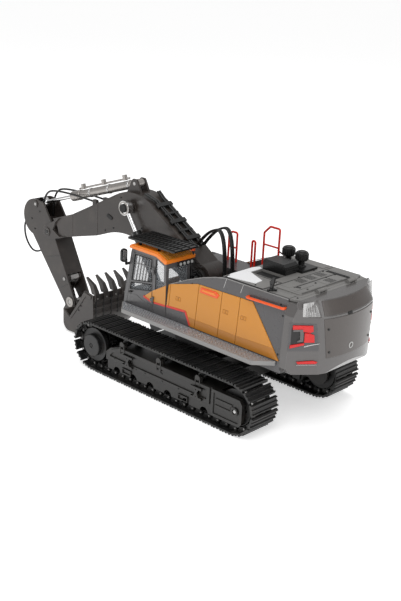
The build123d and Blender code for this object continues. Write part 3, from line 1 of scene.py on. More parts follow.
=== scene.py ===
"""Looks of the radio-controlled excavator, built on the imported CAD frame.

Lengths are written in millimetres and turned into metres by MM where a mesh is made.
+X points to the digging arm, +Y to the cab side and +Z up, as in the frame.
"""
from math import cos, pi, radians, sin, sqrt

import bmesh
import bpy
from mathutils import Matrix, Vector


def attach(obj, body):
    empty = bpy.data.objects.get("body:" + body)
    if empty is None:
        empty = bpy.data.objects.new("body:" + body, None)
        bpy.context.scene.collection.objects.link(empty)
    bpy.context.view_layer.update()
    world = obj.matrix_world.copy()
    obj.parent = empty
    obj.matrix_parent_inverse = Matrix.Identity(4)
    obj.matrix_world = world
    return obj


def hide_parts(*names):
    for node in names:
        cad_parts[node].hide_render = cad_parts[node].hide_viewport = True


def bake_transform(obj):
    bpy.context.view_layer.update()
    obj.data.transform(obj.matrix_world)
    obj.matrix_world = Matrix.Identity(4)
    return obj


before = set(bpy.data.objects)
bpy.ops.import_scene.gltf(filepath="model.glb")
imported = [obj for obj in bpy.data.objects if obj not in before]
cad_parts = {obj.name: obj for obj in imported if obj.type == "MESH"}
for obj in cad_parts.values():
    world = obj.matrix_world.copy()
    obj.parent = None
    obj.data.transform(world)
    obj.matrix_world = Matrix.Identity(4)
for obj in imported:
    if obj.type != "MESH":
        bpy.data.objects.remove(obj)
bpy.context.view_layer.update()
MM = 0.001


def add_object(name, data):
    made = bpy.data.objects.new(name, data)
    bpy.context.scene.collection.objects.link(made)
    return made


# ---------------------------------------------------------------- camera
def add_camera():
    """A long lens behind, left of and above the machine, rolled a little."""
    spot = Vector((-679.73, 754.64, 454.34)) * MM
    yaw, pitch, roll = radians(-47.07), radians(-19.72), radians(2.71)
    ahead = Vector((cos(pitch) * cos(yaw), cos(pitch) * sin(yaw), sin(pitch)))
    right = Vector((sin(yaw), -cos(yaw), 0))
    up = right.cross(ahead)
    rolled_right = cos(roll) * right + sin(roll) * up
    rolled_up = -sin(roll) * right + cos(roll) * up
    data = bpy.data.cameras.new("camera")
    data.sensor_fit = "HORIZONTAL"
    data.sensor_width = 36
    data.lens = 90.3
    data.clip_start, data.clip_end = 0.02, 50
    camera = add_object("camera", data)
    facing = Matrix((rolled_right, rolled_up, -ahead)).transposed().to_4x4()
    camera.matrix_world = Matrix.Translation(spot) @ facing
    bpy.context.scene.camera = camera


add_camera()


# ---------------------------------------------------------------- materials
def material(name, colour, roughness=0.45, metallic=0.0, mottle=0.06, grain=0.02, wear=None, wear_amount=0.5,
             edge=0.35, coat=0.0, grain_scale=900, dust=0.0):
    """Moulded plastic or painted metal: cloudy colour, fine grain, soft edges, and rubbed ones with wear."""
    made = bpy.data.materials.new(name)
    made.use_nodes = True
    nodes, links = made.node_tree.nodes, made.node_tree.links
    shader = nodes["Principled BSDF"]
    shader.inputs["Metallic"].default_value = metallic
    shader.inputs["Coat Weight"].default_value = coat
    shader.inputs["Coat Roughness"].default_value = 0.12
    place = nodes.new("ShaderNodeTexCoord")

    clouds = nodes.new("ShaderNodeTexNoise")
    clouds.inputs["Scale"].default_value = 55
    clouds.inputs["Detail"].default_value = 5
    links.new(place.outputs["Object"], clouds.inputs["Vector"])
    tint = nodes.new("ShaderNodeMix")
    tint.data_type = "RGBA"
    tint.inputs["A"].default_value = (*[c * (1 - mottle) for c in colour], 1)
    tint.inputs["B"].default_value = (*[min(1, c * (1 + mottle)) for c in colour], 1)
    links.new(clouds.outputs["Fac"], tint.inputs["Factor"])
    base = tint.outputs["Result"]

    fine = nodes.new("ShaderNodeTexNoise")
    fine.inputs["Scale"].default_value = grain_scale
    fine.inputs["Detail"].default_value = 3
    links.new(place.outputs["Object"], fine.inputs["Vector"])

    if dust:
        # pale dust that gathers in cloudy patches
        patches = nodes.new("ShaderNodeMapRange")
        patches.inputs["From Min"].default_value = 0.5
        patches.inputs["From Max"].default_value = 0.75
        patches.inputs["To Max"].default_value = dust
        links.new(clouds.outputs["Fac"], patches.inputs["Value"])
        dusty = nodes.new("ShaderNodeMix")
        dusty.data_type = "RGBA"
        dusty.inputs["B"].default_value = (0.30, 0.26, 0.22, 1)
        links.new(patches.outputs["Result"], dusty.inputs["Factor"])
        links.new(base, dusty.inputs["A"])
        base = dusty.outputs["Result"]

    soft = nodes.new("ShaderNodeBevel")
    soft.samples = 4
    soft.inputs["Radius"].default_value = edge * MM
    if wear:
        # a rubbed edge is where the rounded normal leaves the flat one
        flat = nodes.new("ShaderNodeNewGeometry")
        turn = nodes.new("ShaderNodeVectorMath")
        turn.operation = "DOT_PRODUCT"
        links.new(soft.outputs["Normal"], turn.inputs[0])
        links.new(flat.outputs["Normal"], turn.inputs[1])
        rubbed = nodes.new("ShaderNodeMapRange")
        rubbed.inputs["From Min"].default_value = 0.995
        rubbed.inputs["From Max"].default_value = 0.86
        rubbed.inputs["To Max"].default_value = wear_amount
        links.new(turn.outputs["Value"], rubbed.inputs["Value"])
        broken = nodes.new("ShaderNodeMath")
        broken.operation = "MULTIPLY"
        links.new(rubbed.outputs["Result"], broken.inputs[0])
        links.new(clouds.outputs["Fac"], broken.inputs[1])
        worn = nodes.new("ShaderNodeMix")
        worn.data_type = "RGBA"
        worn.inputs["B"].default_value = (*wear, 1)
        links.new(broken.outputs["Value"], worn.inputs["Factor"])
        links.new(base, worn.inputs["A"])
        base = worn.outputs["Result"]
    links.new(base, shader.inputs["Base Color"])

    sheen = nodes.new("ShaderNodeMapRange")
    sheen.inputs["To Min"].default_value = max(0.03, roughness - 0.08)
    sheen.inputs["To Max"].default_value = min(1, roughness + 0.08)
    links.new(clouds.outputs["Fac"], sheen.inputs["Value"])
    links.new(sheen.outputs["Result"], shader.inputs["Roughness"])

    bump = nodes.new("ShaderNodeBump")
    bump.inputs["Strength"].default_value = 1.0
    bump.inputs["Distance"].default_value = grain * MM
    links.new(fine.outputs["Fac"], bump.inputs["Height"])
    links.new(soft.outputs["Normal"], bump.inputs["Normal"])
    links.new(bump.outputs["Normal"], shader.inputs["Normal"])
    return made


def clear_plastic(name, colour):
    """Thin clear glazing that lets the view and the light through."""
    roughness = 0.08
    made = bpy.data.materials.new(name)
    made.use_nodes = True
    nodes, links = made.node_tree.nodes, made.node_tree.links
    shader = nodes["Principled BSDF"]
    shader.inputs["Base Color"].default_value = (*colour, 1)
    shader.inputs["Roughness"].default_value = roughness
    shader.inputs["Alpha"].default_value = 0.22
    place = nodes.new("ShaderNodeTexCoord")
    smears = nodes.new("ShaderNodeTexNoise")
    smears.inputs["Scale"].default_value = 120
    links.new(place.outputs["Object"], smears.inputs["Vector"])
    gloss = nodes.new("ShaderNodeMapRange")
    gloss.inputs["To Min"].default_value = roughness * 0.5
    gloss.inputs["To Max"].default_value = roughness * 2.5
    links.new(smears.outputs["Fac"], gloss.inputs["Value"])
    links.new(gloss.outputs["Result"], shader.inputs["Roughness"])
    return made


GREY_WEAR = (0.30, 0.29, 0.28)
LOOKS = {
    "track": material("track_plastic", (0.006, 0.006, 0.006), 0.42, wear=(0.10, 0.095, 0.09), wear_amount=0.9,
                      edge=0.3, grain=0.03, dust=0.05),
    "frame": material("frame_plastic", (0.011, 0.010, 0.009), 0.36, wear=(0.07, 0.065, 0.06), mottle=0.25,
                      dust=0.03),
    "black": material("black_plastic", (0.005, 0.005, 0.005), 0.30, wear=(0.06, 0.06, 0.06)),
    "matt": material("matt_black", (0.005, 0.005, 0.005), 0.6),
    "orange": material("orange_plastic", (0.56, 0.215, 0.008), 0.32, mottle=0.03, coat=0.25, grain=0.008),
    "ochre": material("ochre_plastic", (0.42, 0.155, 0.006), 0.36, mottle=0.04, coat=0.2, grain=0.008),
    "bright_orange": material("bright_orange", (0.80, 0.085, 0.004), 0.3, mottle=0.03, coat=0.2),
    "roof": material("roof_orange", (0.80, 0.20, 0.008), 0.3, mottle=0.04, coat=0.3),
    "red": material("red_paint", (0.60, 0.016, 0.006), 0.32, mottle=0.05, coat=0.2),
    "lamp": material("red_lens", (0.56, 0.002, 0.002), 0.2, mottle=0.05, coat=0.1, grain=0.0),
    "side_grey": material("side_grey", (0.070, 0.067, 0.069), 0.28, mottle=0.05, coat=0.15, wear=GREY_WEAR,
                          grain=0.008),
    "tail_grey": material("tail_grey", (0.090, 0.084, 0.082), 0.24, mottle=0.08, coat=0.3,
                          wear=(0.4, 0.4, 0.4), grain=0.008, edge=0.6),
    "slope": material("slope_brown", (0.062, 0.052, 0.047), 0.3, mottle=0.1, coat=0.2, wear=GREY_WEAR),
    "deck": material("deck_grey", (0.18, 0.175, 0.168), 0.38, mottle=0.08, wear=(0.35, 0.34, 0.33),
                     dust=0.05),
    "white": material("white_plate", (0.85, 0.85, 0.86), 0.3, mottle=0.02, coat=0.2),
    "cab": material("cab_grey", (0.085, 0.083, 0.085), 0.28, mottle=0.07, coat=0.2, wear=GREY_WEAR),
    "arm": material("arm_brown", (0.030, 0.024, 0.021), 0.34, mottle=0.16, wear=(0.20, 0.18, 0.17), edge=0.5,
                    dust=0.06),
    "arm_dark": material("arm_dark", (0.009, 0.008, 0.008), 0.45, mottle=0.2, wear=(0.12, 0.11, 0.10)),
    "bucket": material("bucket_brown", (0.040, 0.034, 0.031), 0.36, mottle=0.2, wear=(0.26, 0.24, 0.23),
                       edge=0.6, dust=0.1),
    # silver for the real silver parts; it also colours the painted highlight on the tail's corner shoulders
    "silver": material("silver", (0.46, 0.455, 0.45), 0.26, metallic=0.9, mottle=0.08),
    "cylinder": material("cylinder_grey", (0.36, 0.34, 0.32), 0.32, metallic=0.75, mottle=0.12,
                         wear=(0.7, 0.68, 0.66)),
    "chrome": material("chrome", (0.80, 0.80, 0.80), 0.12, metallic=1.0, mottle=0.03, grain=0.0),
    "steel": material("steel", (0.42, 0.41, 0.40), 0.35, metallic=0.9, mottle=0.1),
    "checker": material("checker_plate", (0.36, 0.37, 0.39), 0.38, metallic=0.35, mottle=0.1, grain=0.02),
    # the walkway lip's grey; it also colours the painted highlight band along the side shells' top edge
    "lip": material("walkway_lip", (0.22, 0.215, 0.21), 0.34, mottle=0.08, wear=(0.5, 0.5, 0.5)),
    "hose": material("hose_rubber", (0.006, 0.006, 0.006), 0.38, mottle=0.1, grain=0.03, grain_scale=1500),
    "seat": material("seat_brown", (0.12, 0.055, 0.025), 0.6, mottle=0.2, grain=0.05),
    "blue": material("battery_wrap", (0.02, 0.06, 0.25), 0.3, mottle=0.05),
    "green": material("board_green", (0.01, 0.12, 0.03), 0.4, mottle=0.2),
    "label": material("pale_label", (0.42, 0.42, 0.41), 0.4, mottle=0.03),
    "window": clear_plastic("window", (0.30, 0.32, 0.34)),
}

NODE_LOOKS = {
    "track": ("track_shoes_left", "track_shoes_right", "sprocket_left", "sprocket_right", "idler_left",
              "idler_right", "track_rollers"),
    "frame": ("side_frame_left", "side_frame_right", "side_steps", "travel_gearboxes", "car_body",
              "slew_ring", "house_floor"),
    "steel": ("track_pins", "slew_pinion", "boom_pins", "stick_pins", "slew_motor", "bucket_drive"),
    "black": ("power_switch", "intake_box", "pre_cleaners", "deck_latch", "roof_guard", "control_console",
              "cab_mirror", "boom_pipes", "boom_barrels"),
    "side_grey": ("side_shell_left", "side_shell_right"),
    "tail_grey": ("counterweight",),
    "deck": ("engine_deck", "deck_hatch"),
    "cab": ("cab_frame", "cab_door"),
    "roof": ("cab_roof",),
    "bright_orange": ("grab_rails",),
    "red": ("guard_rails",),
    "lamp": ("tail_lights",),
    "window": ("cab_windows", "door_glass"),
    "checker": ("walkways",),
    "seat": ("seat",),
    "blue": ("battery",),
    "green": ("circuit_board",),
    "arm": ("boom_half_left", "boom_half_right", "stick_frame", "rocker_link", "h_link"),
    "bucket": ("bucket", "bucket_teeth"),
    "cylinder": ("stick_barrel",),
    "chrome": ("boom_rods", "stick_rod"),
    "hose": ("house_hoses", "stick_hoses", "front_hose"),
}


def dress_nodes():
    for look, names in NODE_LOOKS.items():
        for name in names:
            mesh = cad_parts[name].data
            mesh.materials.clear()
            mesh.materials.append(LOOKS[look])


dress_nodes()


# ---------------------------------------------------------------- mesh helpers
def place_piece(piece, body):
    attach(piece, body)
    return piece


def piece_from(bm, name, look, body, bevel=0.0):
    """Turns a bmesh in millimetres into a piece that rides on a body."""
    bmesh.ops.recalc_face_normals(bm, faces=bm.faces)
    bmesh.ops.scale(bm, vec=(MM, MM, MM), verts=bm.verts)
    mesh = bpy.data.meshes.new(name)
    bm.to_mesh(mesh)
    bm.free()
    mesh.materials.append(LOOKS[look])
    piece = add_object(name, mesh)
    if bevel:
        edges = piece.modifiers.new("edges", "BEVEL")
        edges.width = bevel * MM
        edges.segments = 2
        edges.limit_method = "ANGLE"
    return place_piece(piece, body)


def clip(outline, value, keep_above):
    """The part of an outline above or below a value of its first axis."""
    kept = []
    for here, after in zip(outline, outline[1:] + outline[:1]):
        inside = (here[0] >= value) == keep_above
        inside_after = (after[0] >= value) == keep_above
        if inside:
            kept.append(here)
        if inside != inside_after:
            share = (value - here[0]) / (after[0] - here[0])
            kept.append(tuple(a + share * (b - a) for a, b in zip(here, after)))
    return kept


def strip(outline, low, high):
    """The part of an outline between two values of its first axis."""
    return clip(clip(outline, low, True), high, False)


def add_slab(bm, outline, surface, low, high, step=None):
    """Adds a plate of an outline, from height low to height high over a surface(u, v, w)."""
    flat = bmesh.new()
    flat.faces.new([flat.verts.new((u, v, 0)) for u, v in outline])
    if step:
        us = [u for u, v in outline]
        cut = min(us) + step
        while cut < max(us) - 0.01:
            bmesh.ops.bisect_plane(flat, geom=flat.verts[:] + flat.edges[:] + flat.faces[:],
                                   plane_co=(cut, 0, 0), plane_no=(1, 0, 0))
            cut += step
    flat.verts.index_update()
    spots = [vertex.co.xy for vertex in flat.verts]
    bottom = [bm.verts.new(surface(u, v, low)) for u, v in spots]
    top = [bm.verts.new(surface(u, v, high)) for u, v in spots]
    for face in flat.faces:
        ring = [vertex.index for vertex in face.verts]
        bm.faces.new([top[i] for i in ring])
        bm.faces.new([bottom[i] for i in reversed(ring)])
    for edge in flat.edges:
        if len(edge.link_faces) == 1:
            a, b = (vertex.index for vertex in edge.verts)
            bm.faces.new([bottom[a], bottom[b], top[b], top[a]])
    flat.free()


def slabs(name, outlines, surface, high, look, body, low=-0.3, step=None, bevel=0.12):
    """One piece made of several plates on a surface."""
    bm = bmesh.new()
    for outline in outlines:
        add_slab(bm, outline, surface, low, high, step)
    return piece_from(bm, name, look, body, bevel)


def rectangle(u0, u1, v0, v1):
    return [(u0, v0), (u1, v0), (u1, v1), (u0, v1)]


def oblong(u, v, length, width, turn=0.0, corners=6):
    """A slot shape, its long way along the first axis turned by some degrees."""
    half = (length - width) / 2
    points = []
    for end, start in ((1, -90), (-1, 90)):
        for i in range(corners + 1):
            angle = radians(start + 180 * i / corners)
            points.append((end * half + width / 2 * cos(angle), width / 2 * sin(angle)))
    c, s = cos(radians(turn)), sin(radians(turn))
    return [(u + c * a - s * b, v + s * a + c * b) for a, b in points]


def turns(sides):
    """Evenly spaced angles round a circle."""
    return [2 * pi * i / sides for i in range(sides)]


def disc(u, v, radius, sides=20):
    return [(u + radius * cos(angle), v + radius * sin(angle)) for angle in turns(sides)]


def line(u0, v0, u1, v1, width):
    """A thin straight band."""
    along = Vector((u1 - u0, v1 - v0)).normalized() * width / 2
    across = Vector((-along.y, along.x))
    return [(u0 + across.x, v0 + across.y), (u0 - across.x, v0 - across.y),
            (u1 - across.x, v1 - across.y), (u1 + across.x, v1 + across.y)]


def band(points, width):
    """Thin straight bands along a run of points."""
    return [line(*a, *b, width) for a, b in zip(points, points[1:])]


def frame_of(u0, u1, v0, v1, width):
    """Four bands round a rectangle."""
    return [rectangle(u0, u1, v0, v0 + width), rectangle(u0, u1, v1 - width, v1),
            rectangle(u0, u0 + width, v0 + width, v1 - width),
            rectangle(u1 - width, u1, v0 + width, v1 - width)]


def bridge(bm, loops):
    """Joins each loop of vertices to the next with a strip of faces."""
    for first, second in zip(loops, loops[1:]):
        for i in range(len(first)):
            after = (i + 1) % len(first)
            bm.faces.new([first[i], first[after], second[after], second[i]])


def tube(name, points, radius, look, body, smooth_path=False):
    """A round bar through points."""
    data = bpy.data.curves.new(name, "CURVE")
    data.dimensions = "3D"
    data.bevel_depth = radius * MM
    data.bevel_resolution = 3
    data.use_fill_caps = True
    run = data.splines.new("NURBS" if smooth_path else "POLY")
    run.points.add(len(points) - 1)
    for point, spot in zip(run.points, points):
        point.co = (*(Vector(spot) * MM), 1)
    if smooth_path:
        run.order_u = 3
        run.use_endpoint_u = True
    data.materials.append(LOOKS[look])
    return place_piece(add_object(name, data), body)


# ---------------------------------------------------------------- surfaces of the machine
SIDES = ((1, "left"), (-1, "right"))
HOUSE_Y, DECK_Y, SIDE_Z, DECK_Z = 63.0, 57.0, 83.0, 145.6
LEAN = (HOUSE_Y - DECK_Y) / (DECK_Z - SIDE_Z)
DOOR_EDGE = 33.2
BOOM_Y, STICK_Y, BUCKET_Y = 13.5, 13.0, 33.0
TAIL_X, TAIL_R = -178.0, 109.0
SHOULDER, TAIL_SLOPE = 131.0, 9.0 / 15.6
FACET_X, FACET_Y = -150.0, 65.0
FACET_BACK, FACET_ACROSS = 0.640, 0.768
BEAM_Y = 81.6
BOOM_EYE, NOSE, FOOT, TIP = (122.0, 171.0), (270.0, 109.0), (12.0, 116.0), (229.0, 28.0)


def house_wall(side):
    def surface(x, z, out):
        return (x, side * (HOUSE_Y - LEAN * max(0, z - SIDE_Z) + out), z)
    return surface


def upright(y, side=1):
    def surface(x, z, out):
        return (x, side * (y + out), z)
    return surface


def level(z0):
    def surface(x, y, out):
        return (x, y, z0 + out)
    return surface


def tail(y, z, out):
    reach = TAIL_R - TAIL_SLOPE * max(0, z - SHOULDER) + out
    return (TAIL_X + TAIL_R - sqrt(reach * reach - y * y), y, z)


def facets(run, z, out):
    """The flat facets at the tail's corners; run counts from the house's side and its sign picks the side."""
    side = 1 if run > 0 else -1
    run = abs(run)
    return (FACET_X - FACET_BACK * run - FACET_ACROSS * out,
            side * (FACET_Y - FACET_ACROSS * run + FACET_BACK * out), z)


def sloping(x0, z0, x1, z1):
    """A plane through two X, Z points, level along Y; along runs from the first point to the second."""
    run = Vector((x1 - x0, 0, z1 - z0))
    out_way = Vector((0, 1, 0)).cross(run).normalized()
    if out_way.z < 0:
        out_way = -out_way
    run.normalize()

    def surface(y, along, out):
        return tuple(Vector((x0, y, z0)) + along * run + out * out_way)
    return surface


def facing_back(x):
    """An upright plane across the machine that faces the tail."""
    def surface(y, z, out):
        return (x - out, y, z)
    return surface


# ---------------------------------------------------------------- hoses
HOSE_R = 1.2
PIPE_YS = (-7.5, -4.5, 4.5, 7.5)


def spline_of(name, route):
    """A smooth curve object with the route's points as its control points, and its line's points."""
    data = bpy.data.curves.new(name, "CURVE")
    data.dimensions = "3D"
    data.resolution_u = 16
    run = data.splines.new("NURBS")
    run.points.add(len(route) - 1)
    for point, spot in zip(run.points, route):
        point.co = (*spot, 1)
    run.order_u = 3
    run.use_endpoint_u = True
    curve = add_object(name, data)
    bpy.context.view_layer.update()
    evaluated = curve.evaluated_get(bpy.context.evaluated_depsgraph_get())
    sampled = bpy.data.meshes.new_from_object(evaluated)
    points = [vertex.co.copy() for vertex in sampled.vertices]
    bpy.data.meshes.remove(sampled)
    return curve, points


def tube_mesh(name, points, radius, sides=14):
    """A round tube as a mesh along points, with closed ends."""
    bm = bmesh.new()
    rings = []
    across = Vector((0, 1, 0))
    for i, spot in enumerate(points):
        ahead = (points[min(i + 1, len(points) - 1)] - points[max(i - 1, 0)]).normalized()
        up = ahead.cross(across).normalized()
        rings.append([bm.verts.new(spot + radius * (cos(angle) * across + sin(angle) * up))
                      for angle in turns(sides)])
    bridge(bm, rings)
    bm.faces.new(reversed(rings[0]))
    bm.faces.new(rings[-1])
    bmesh.ops.recalc_face_normals(bm, faces=bm.faces)
    mesh = bpy.data.meshes.new(name)
    bm.to_mesh(mesh)
    bm.free()
    for polygon in mesh.polygons:
        polygon.use_smooth = True
    return add_object(name, mesh)


def bending_hose(name, route, node):
    """A hose between two bodies that a joint joins, made as one tube along its route."""
    curve, points = spline_of(name + "_line", route)
    bpy.data.objects.remove(curve)
    piece = tube_mesh(name, points, HOSE_R * MM)
    piece.data.materials.append(LOOKS["hose"])
    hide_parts(node)
    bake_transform(piece)
    return piece


def add_hoses():
    """Each route, in metres, starts where its hose leaves a fitting."""
    for i, y in enumerate((y * MM for y in PIPE_YS)):
        route = [(-0.0160, y, 0.1127), (-0.0160, y, 0.1714), (0.0080, y, 0.1714), (0.0266, y, 0.1466)]
        bending_hose(f"house_hose_{i + 1}", route, "house_hoses")
    for i, y in enumerate((-0.008, 0.008)):
        route = [(0.192, y, 0.162), (0.262, y, 0.164), (0.288, y, 0.150), (0.288, y, 0.1207)]
        bending_hose(f"stick_hose_{i + 1}", route, "stick_hoses")
    route = [(0.3195, 0.0, 0.1150), (0.3360, 0.0, 0.1106), (0.3360, 0.0, 0.0820), (0.3120, 0.0, 0.0646),
             (0.2896, 0.0, 0.0835)]
    curve, points = spline_of("front_hose_line", route)
    curve.name = "stick_front_hose"
    curve.data.bevel_depth = HOSE_R * MM
    curve.data.bevel_resolution = 3
    curve.data.use_fill_caps = True
    curve.data.materials.append(LOOKS["hose"])
    place_piece(curve, "stick")
    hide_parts("front_hose")


add_hoses()


# ---------------------------------------------------------------- small repeated parts
def bolts(name, spots, surface, radius, height, look, body, sides=6, low=-0.2):
    """Hexagon heads with a turned washer under each."""
    bm = bmesh.new()
    washer_top = height * 0.35
    for u, v in spots:
        add_slab(bm, disc(u, v, radius * 1.25, 16), surface, low, washer_top)
        add_slab(bm, disc(u, v, radius, sides), surface, washer_top, height)
    return piece_from(bm, name, look, body, bevel=0.1)


def ring(name, u, v, inner, outer, surface, low, high, look, body, slot, sides=32):
    """A flat round ring standing on a surface."""
    bm = bmesh.new()
    circles = []
    for radius, out in ((inner, low), (inner, high), (outer, high), (outer, low)):
        circles.append([bm.verts.new(surface(a, b, out)) for a, b in disc(u, v, radius, sides)])
    bridge(bm, circles + circles[:1])
    return piece_from(bm, name, look, body, bevel=0.1)


# ---------------------------------------------------------------- side panels of the house
PANEL_SEAMS = (12.4, 9.0, -30.0, -61.5, -85.0, -141.0)
ORANGE = [(44.1, 98.8), (33, 107), (9.1, 120.3), (-27.7, 130), (-100.6, 131.5), (-140.6, 84.2), (-23, 84.2),
          (-15.3, 96.9), (33.4, 93.7), (44.1, 97.2)]
LOWER_BAND = [(-23.4, 84.2), (-140.6, 84.2), (-131.5, 94.6), (-85, 93.0), (-30, 93.2), (-18.6, 93.4)]
STRIPE = [(45.9, 97.8), (33.4, 94.5), (-15.3, 97.7), (-23.4, 85.2)]


def side_panels(side, tag):
    wall = house_wall(side)
    gap = 0.3
    orange, lower, latches = [], [], []
    for front, rear in zip(PANEL_SEAMS, PANEL_SEAMS[1:]):
        outline = strip(ORANGE, rear + gap, front - gap)
        if len(outline) > 2:
            orange.append(outline)
        outline = strip(LOWER_BAND, rear + gap, front - gap)
        if len(outline) > 2:
            lower.append(outline)
    slabs(f"orange_panels_{tag}", orange, wall, 0.75, "orange", "house", bevel=0.15)
    slabs(f"lower_band_{tag}", lower, wall, 0.95, "ochre", "house", low=0.5, bevel=0.1)
    slabs(f"stripe_{tag}", band([(12.2, 95.9)] + STRIPE[2:], 2.2), wall, 1.15, "red", "house",
          bevel=0.1)
    # painted highlight: a thin light grey band along the shell's top edge stands in for the highlight on that
    # edge
    rim = [(11.8, 119.2), (-12.9, 130.3), (-33.7, 138), (-49.6, 142.4), (-64.3, 144.9), (-141.8, 144.9)]
    slabs(f"rim_{tag}", band(rim, 0.8), wall, 0.45, "lip", "house")
    seams = [line(x, 144.4, x + 2.4, foot, 0.5) for x, foot in ((-64.3, 134.9), (-86.3, 135.7))]
    slabs(f"band_seams_{tag}", seams, wall, 0.12, "silver", "house", bevel=0)
    slabs(f"handle_plate_{tag}", [[(-32, 122.6), (-33.5, 128.2), (-54, 128.9), (-58.4, 126.4), (-56, 122.4)]],
          wall, 1.5, "bright_orange", "house", bevel=0.5)
    slabs(f"handle_grip_{tag}", [[(-35, 124.8), (-36, 126.8), (-52, 127.3), (-55, 126.0), (-53.5, 124.3)]],
          wall, 2.1, "roof", "house", low=1.2, bevel=0.4)
    for x, z in ((-3.7, 107.9), (-68.5, 112.4), (-91.9, 112.7)):
        latches += frame_of(x - 3.4, x - 0.4, z - 2, z + 2, 0.35)
        latches += frame_of(x + 0.4, x + 3.4, z - 2, z + 2, 0.35)
    slabs(f"latches_{tag}", latches, wall, 1.0, "ochre", "house", low=0.5, bevel=0)
    bolts(f"shell_bolts_{tag}", [(-138, 90), (-138, 128), (-134, 138), (-20, 128)], wall, 0.8, 0.7, "black",
          "house")


for side, tag in SIDES:
    side_panels(side, tag)


# orange corner and stripe that continue over the cab's side, part on the door
CAB_SIDE_Y = 62.6
cab_wall = upright(CAB_SIDE_Y)
for tag, body, low_x, high_x in (("cab", "house", 13.4, DOOR_EDGE - 0.4), ("door", "door", 34.0, 54.0)):
    slabs(f"orange_corner_{tag}", [strip(ORANGE, low_x, high_x)], cab_wall, 0.5, "orange", body,
          low=0.02, bevel=0.1)
    pieces = [strip(outline, low_x, high_x) for outline in band([STRIPE[0], STRIPE[1], (13.0, 95.8)], 2.0)]
    slabs(f"corner_stripe_{tag}", [p for p in pieces if len(p) > 2], cab_wall, 0.8, "red", body,
          low=0.02, bevel=0.1)
slabs("door_lower_panel", [[(36, 86.5), (69.2, 86.5), (67.6, 94.8), (57.5, 96), (46.6, 91.8), (36, 91.2)]],
      cab_wall, 0.35, "cab", "door", low=0.02)
UPPER_PANE = [(35.2, 116.0), (65.4, 110.8), (60.6, 140.2), (35.2, 140.8)]
LOWER_PANE = [(35.2, 106.2), (67.4, 100.2), (66.2, 108.0), (35.2, 113.4)]
slabs("door_frames", band(UPPER_PANE + UPPER_PANE[:1], 0.8) + band(LOWER_PANE + LOWER_PANE[:1], 0.7),
      cab_wall, 0.5, "matt", "door", low=0.02, bevel=0.1)
slabs("quarter_window_frame", band([(16.4, 103.6), (28.8, 103.6), (28.8, 142.2)], 0.9), cab_wall, 0.4, "matt",
      "house", low=0.02)
slabs("door_handle", [oblong(66.0, 97.4, 5, 1.8, -10)], cab_wall, 2.0, "matt", "door",
      low=0.02, bevel=0.4)

# ---------------------------------------------------------------- cab roof and rear
roof_slope = sloping(11.9, 144.9, 26.6, 150.6)
cab_back = facing_back(12.9)
BEACON = (13.0, 24.8)
slabs("roof_slope_plate", [rectangle(24.5, 62.5, 0.8, 15.0)], roof_slope, 0.35, "ochre", "house",
      low=-0.2)
slabs("roof_ribs", [rectangle(y, y + 1.5, 1.0, 14.6) for y in (25.2 + 2.75 * i for i in range(14))],
      roof_slope, 1.3, "ochre", "house", low=0, bevel=0.25)
slabs("roof_edge_left", [[(11.2, 143.4), (26.6, 149.5), (65.0, 149.5), (67.6, 148.0), (68.0, 146.2),
                          (27.4, 145.9), (13.6, 140.6)]], upright(64.0), 0.9, "roof", "house",
      bevel=0.5)
slabs("rear_lamp_bar", [rectangle(24, 47, 135.4, 140.2)], cab_back, 1.2, "matt", "house",
      bevel=0.2)
slabs("rear_lamps", [disc(y, 137.8, 1.7, 16) for y in (27.5, 33, 38.5, 44)], cab_back, 1.8, "label", "house",
      low=1.0)
slabs("beacon_foot", [disc(*BEACON, 1.5, 16)], level(145.2), 3.4, "black", "house", low=-1.2)
slabs("beacon", [disc(*BEACON, 2.2, 20)], level(148.4), 4.4, "bright_orange", "house",
      low=0, bevel=0.8)
slabs("roof_guard_bars", [rectangle(6, 74, y, y + 0.7) for y in (25.4, 36.7, 47.6, 58.9)], level(155.8),
      0.7, "black", "house", low=-0.1, bevel=0.15)
tube("cab_step_rail", [(76.6, 61.0, 84), (78.0, 61.0, 88), (75.2, 61.0, 106), (73.0, 61.0, 109)], 0.7,
     "black", "house", smooth_path=True)
slabs("mirror_glass", [oblong(68.4, 137.4, 12, 5.2, turn=90)], facing_back(70.8), 0.3, "silver", "house",
      low=0.05)

# ---------------------------------------------------------------- engine deck
deck = level(DECK_Z)
hatch_top = level(DECK_Z + 0.8)
slabs("white_plate", [[(-58.6, 45.2), (-58.6, 25.5), (-66.9, 25.0), (-92.1, 36.6), (-93.6, 48.2),
                       (-62.5, 54.4)]], deck, 0.6, "white", "house", bevel=0.2)
slabs("white_plate_front", [[(-58.6, 25.3), (-66.7, 24.8), (-66.7, 7.2), (-62.0, 5.0), (-58.6, 12.0)]],
      deck, 0.6, "white", "house", bevel=0.2)
slabs("deck_plate_rear", [[(-64, -42), (-64, -54), (-106, -53.5), (-106, -42)]], deck, 0.7, "deck", "house",
      bevel=0.3)
slabs("deck_bolts_plate", frame_of(-108.6, -60, 26.4, 55, 0.5), deck, 0.25, "black", "house",
      bevel=0)
VENTS = ((-118.6, 8.8), (-118.6, -6.6), (-118.6, -22.2), (-135.5, -15.0))
SLAT_HALF = 5.25
slats = [rectangle(x - 4 + 2.0 * i, x - 3 + 2.0 * i, y - SLAT_HALF, y + SLAT_HALF)
         for x, y in VENTS for i in range(5)]
slabs("hatch_vents", slats, hatch_top, 0.35, "matt", "hatch", bevel=0.08)
slabs("hatch_plates", [rectangle(-124.2, -113.6, -30, 34), rectangle(-140.6, -128, -28, -3),
                       rectangle(-140.6, -128, 8, 38)], hatch_top, 0.25, "deck", "hatch",
      bevel=0.1)
slabs("hatch_ribs", [rectangle(-141.5, -114.5, y, y + 0.9) for y in (-39.6, -37.9, -36.2)], hatch_top, 0.5,
      "black", "hatch", bevel=0.1)
slabs("hatch_mark", [oblong(-129.5, 26.7, 5, 3, 20)], hatch_top, 0.55, "black", "hatch",
      bevel=0.15)
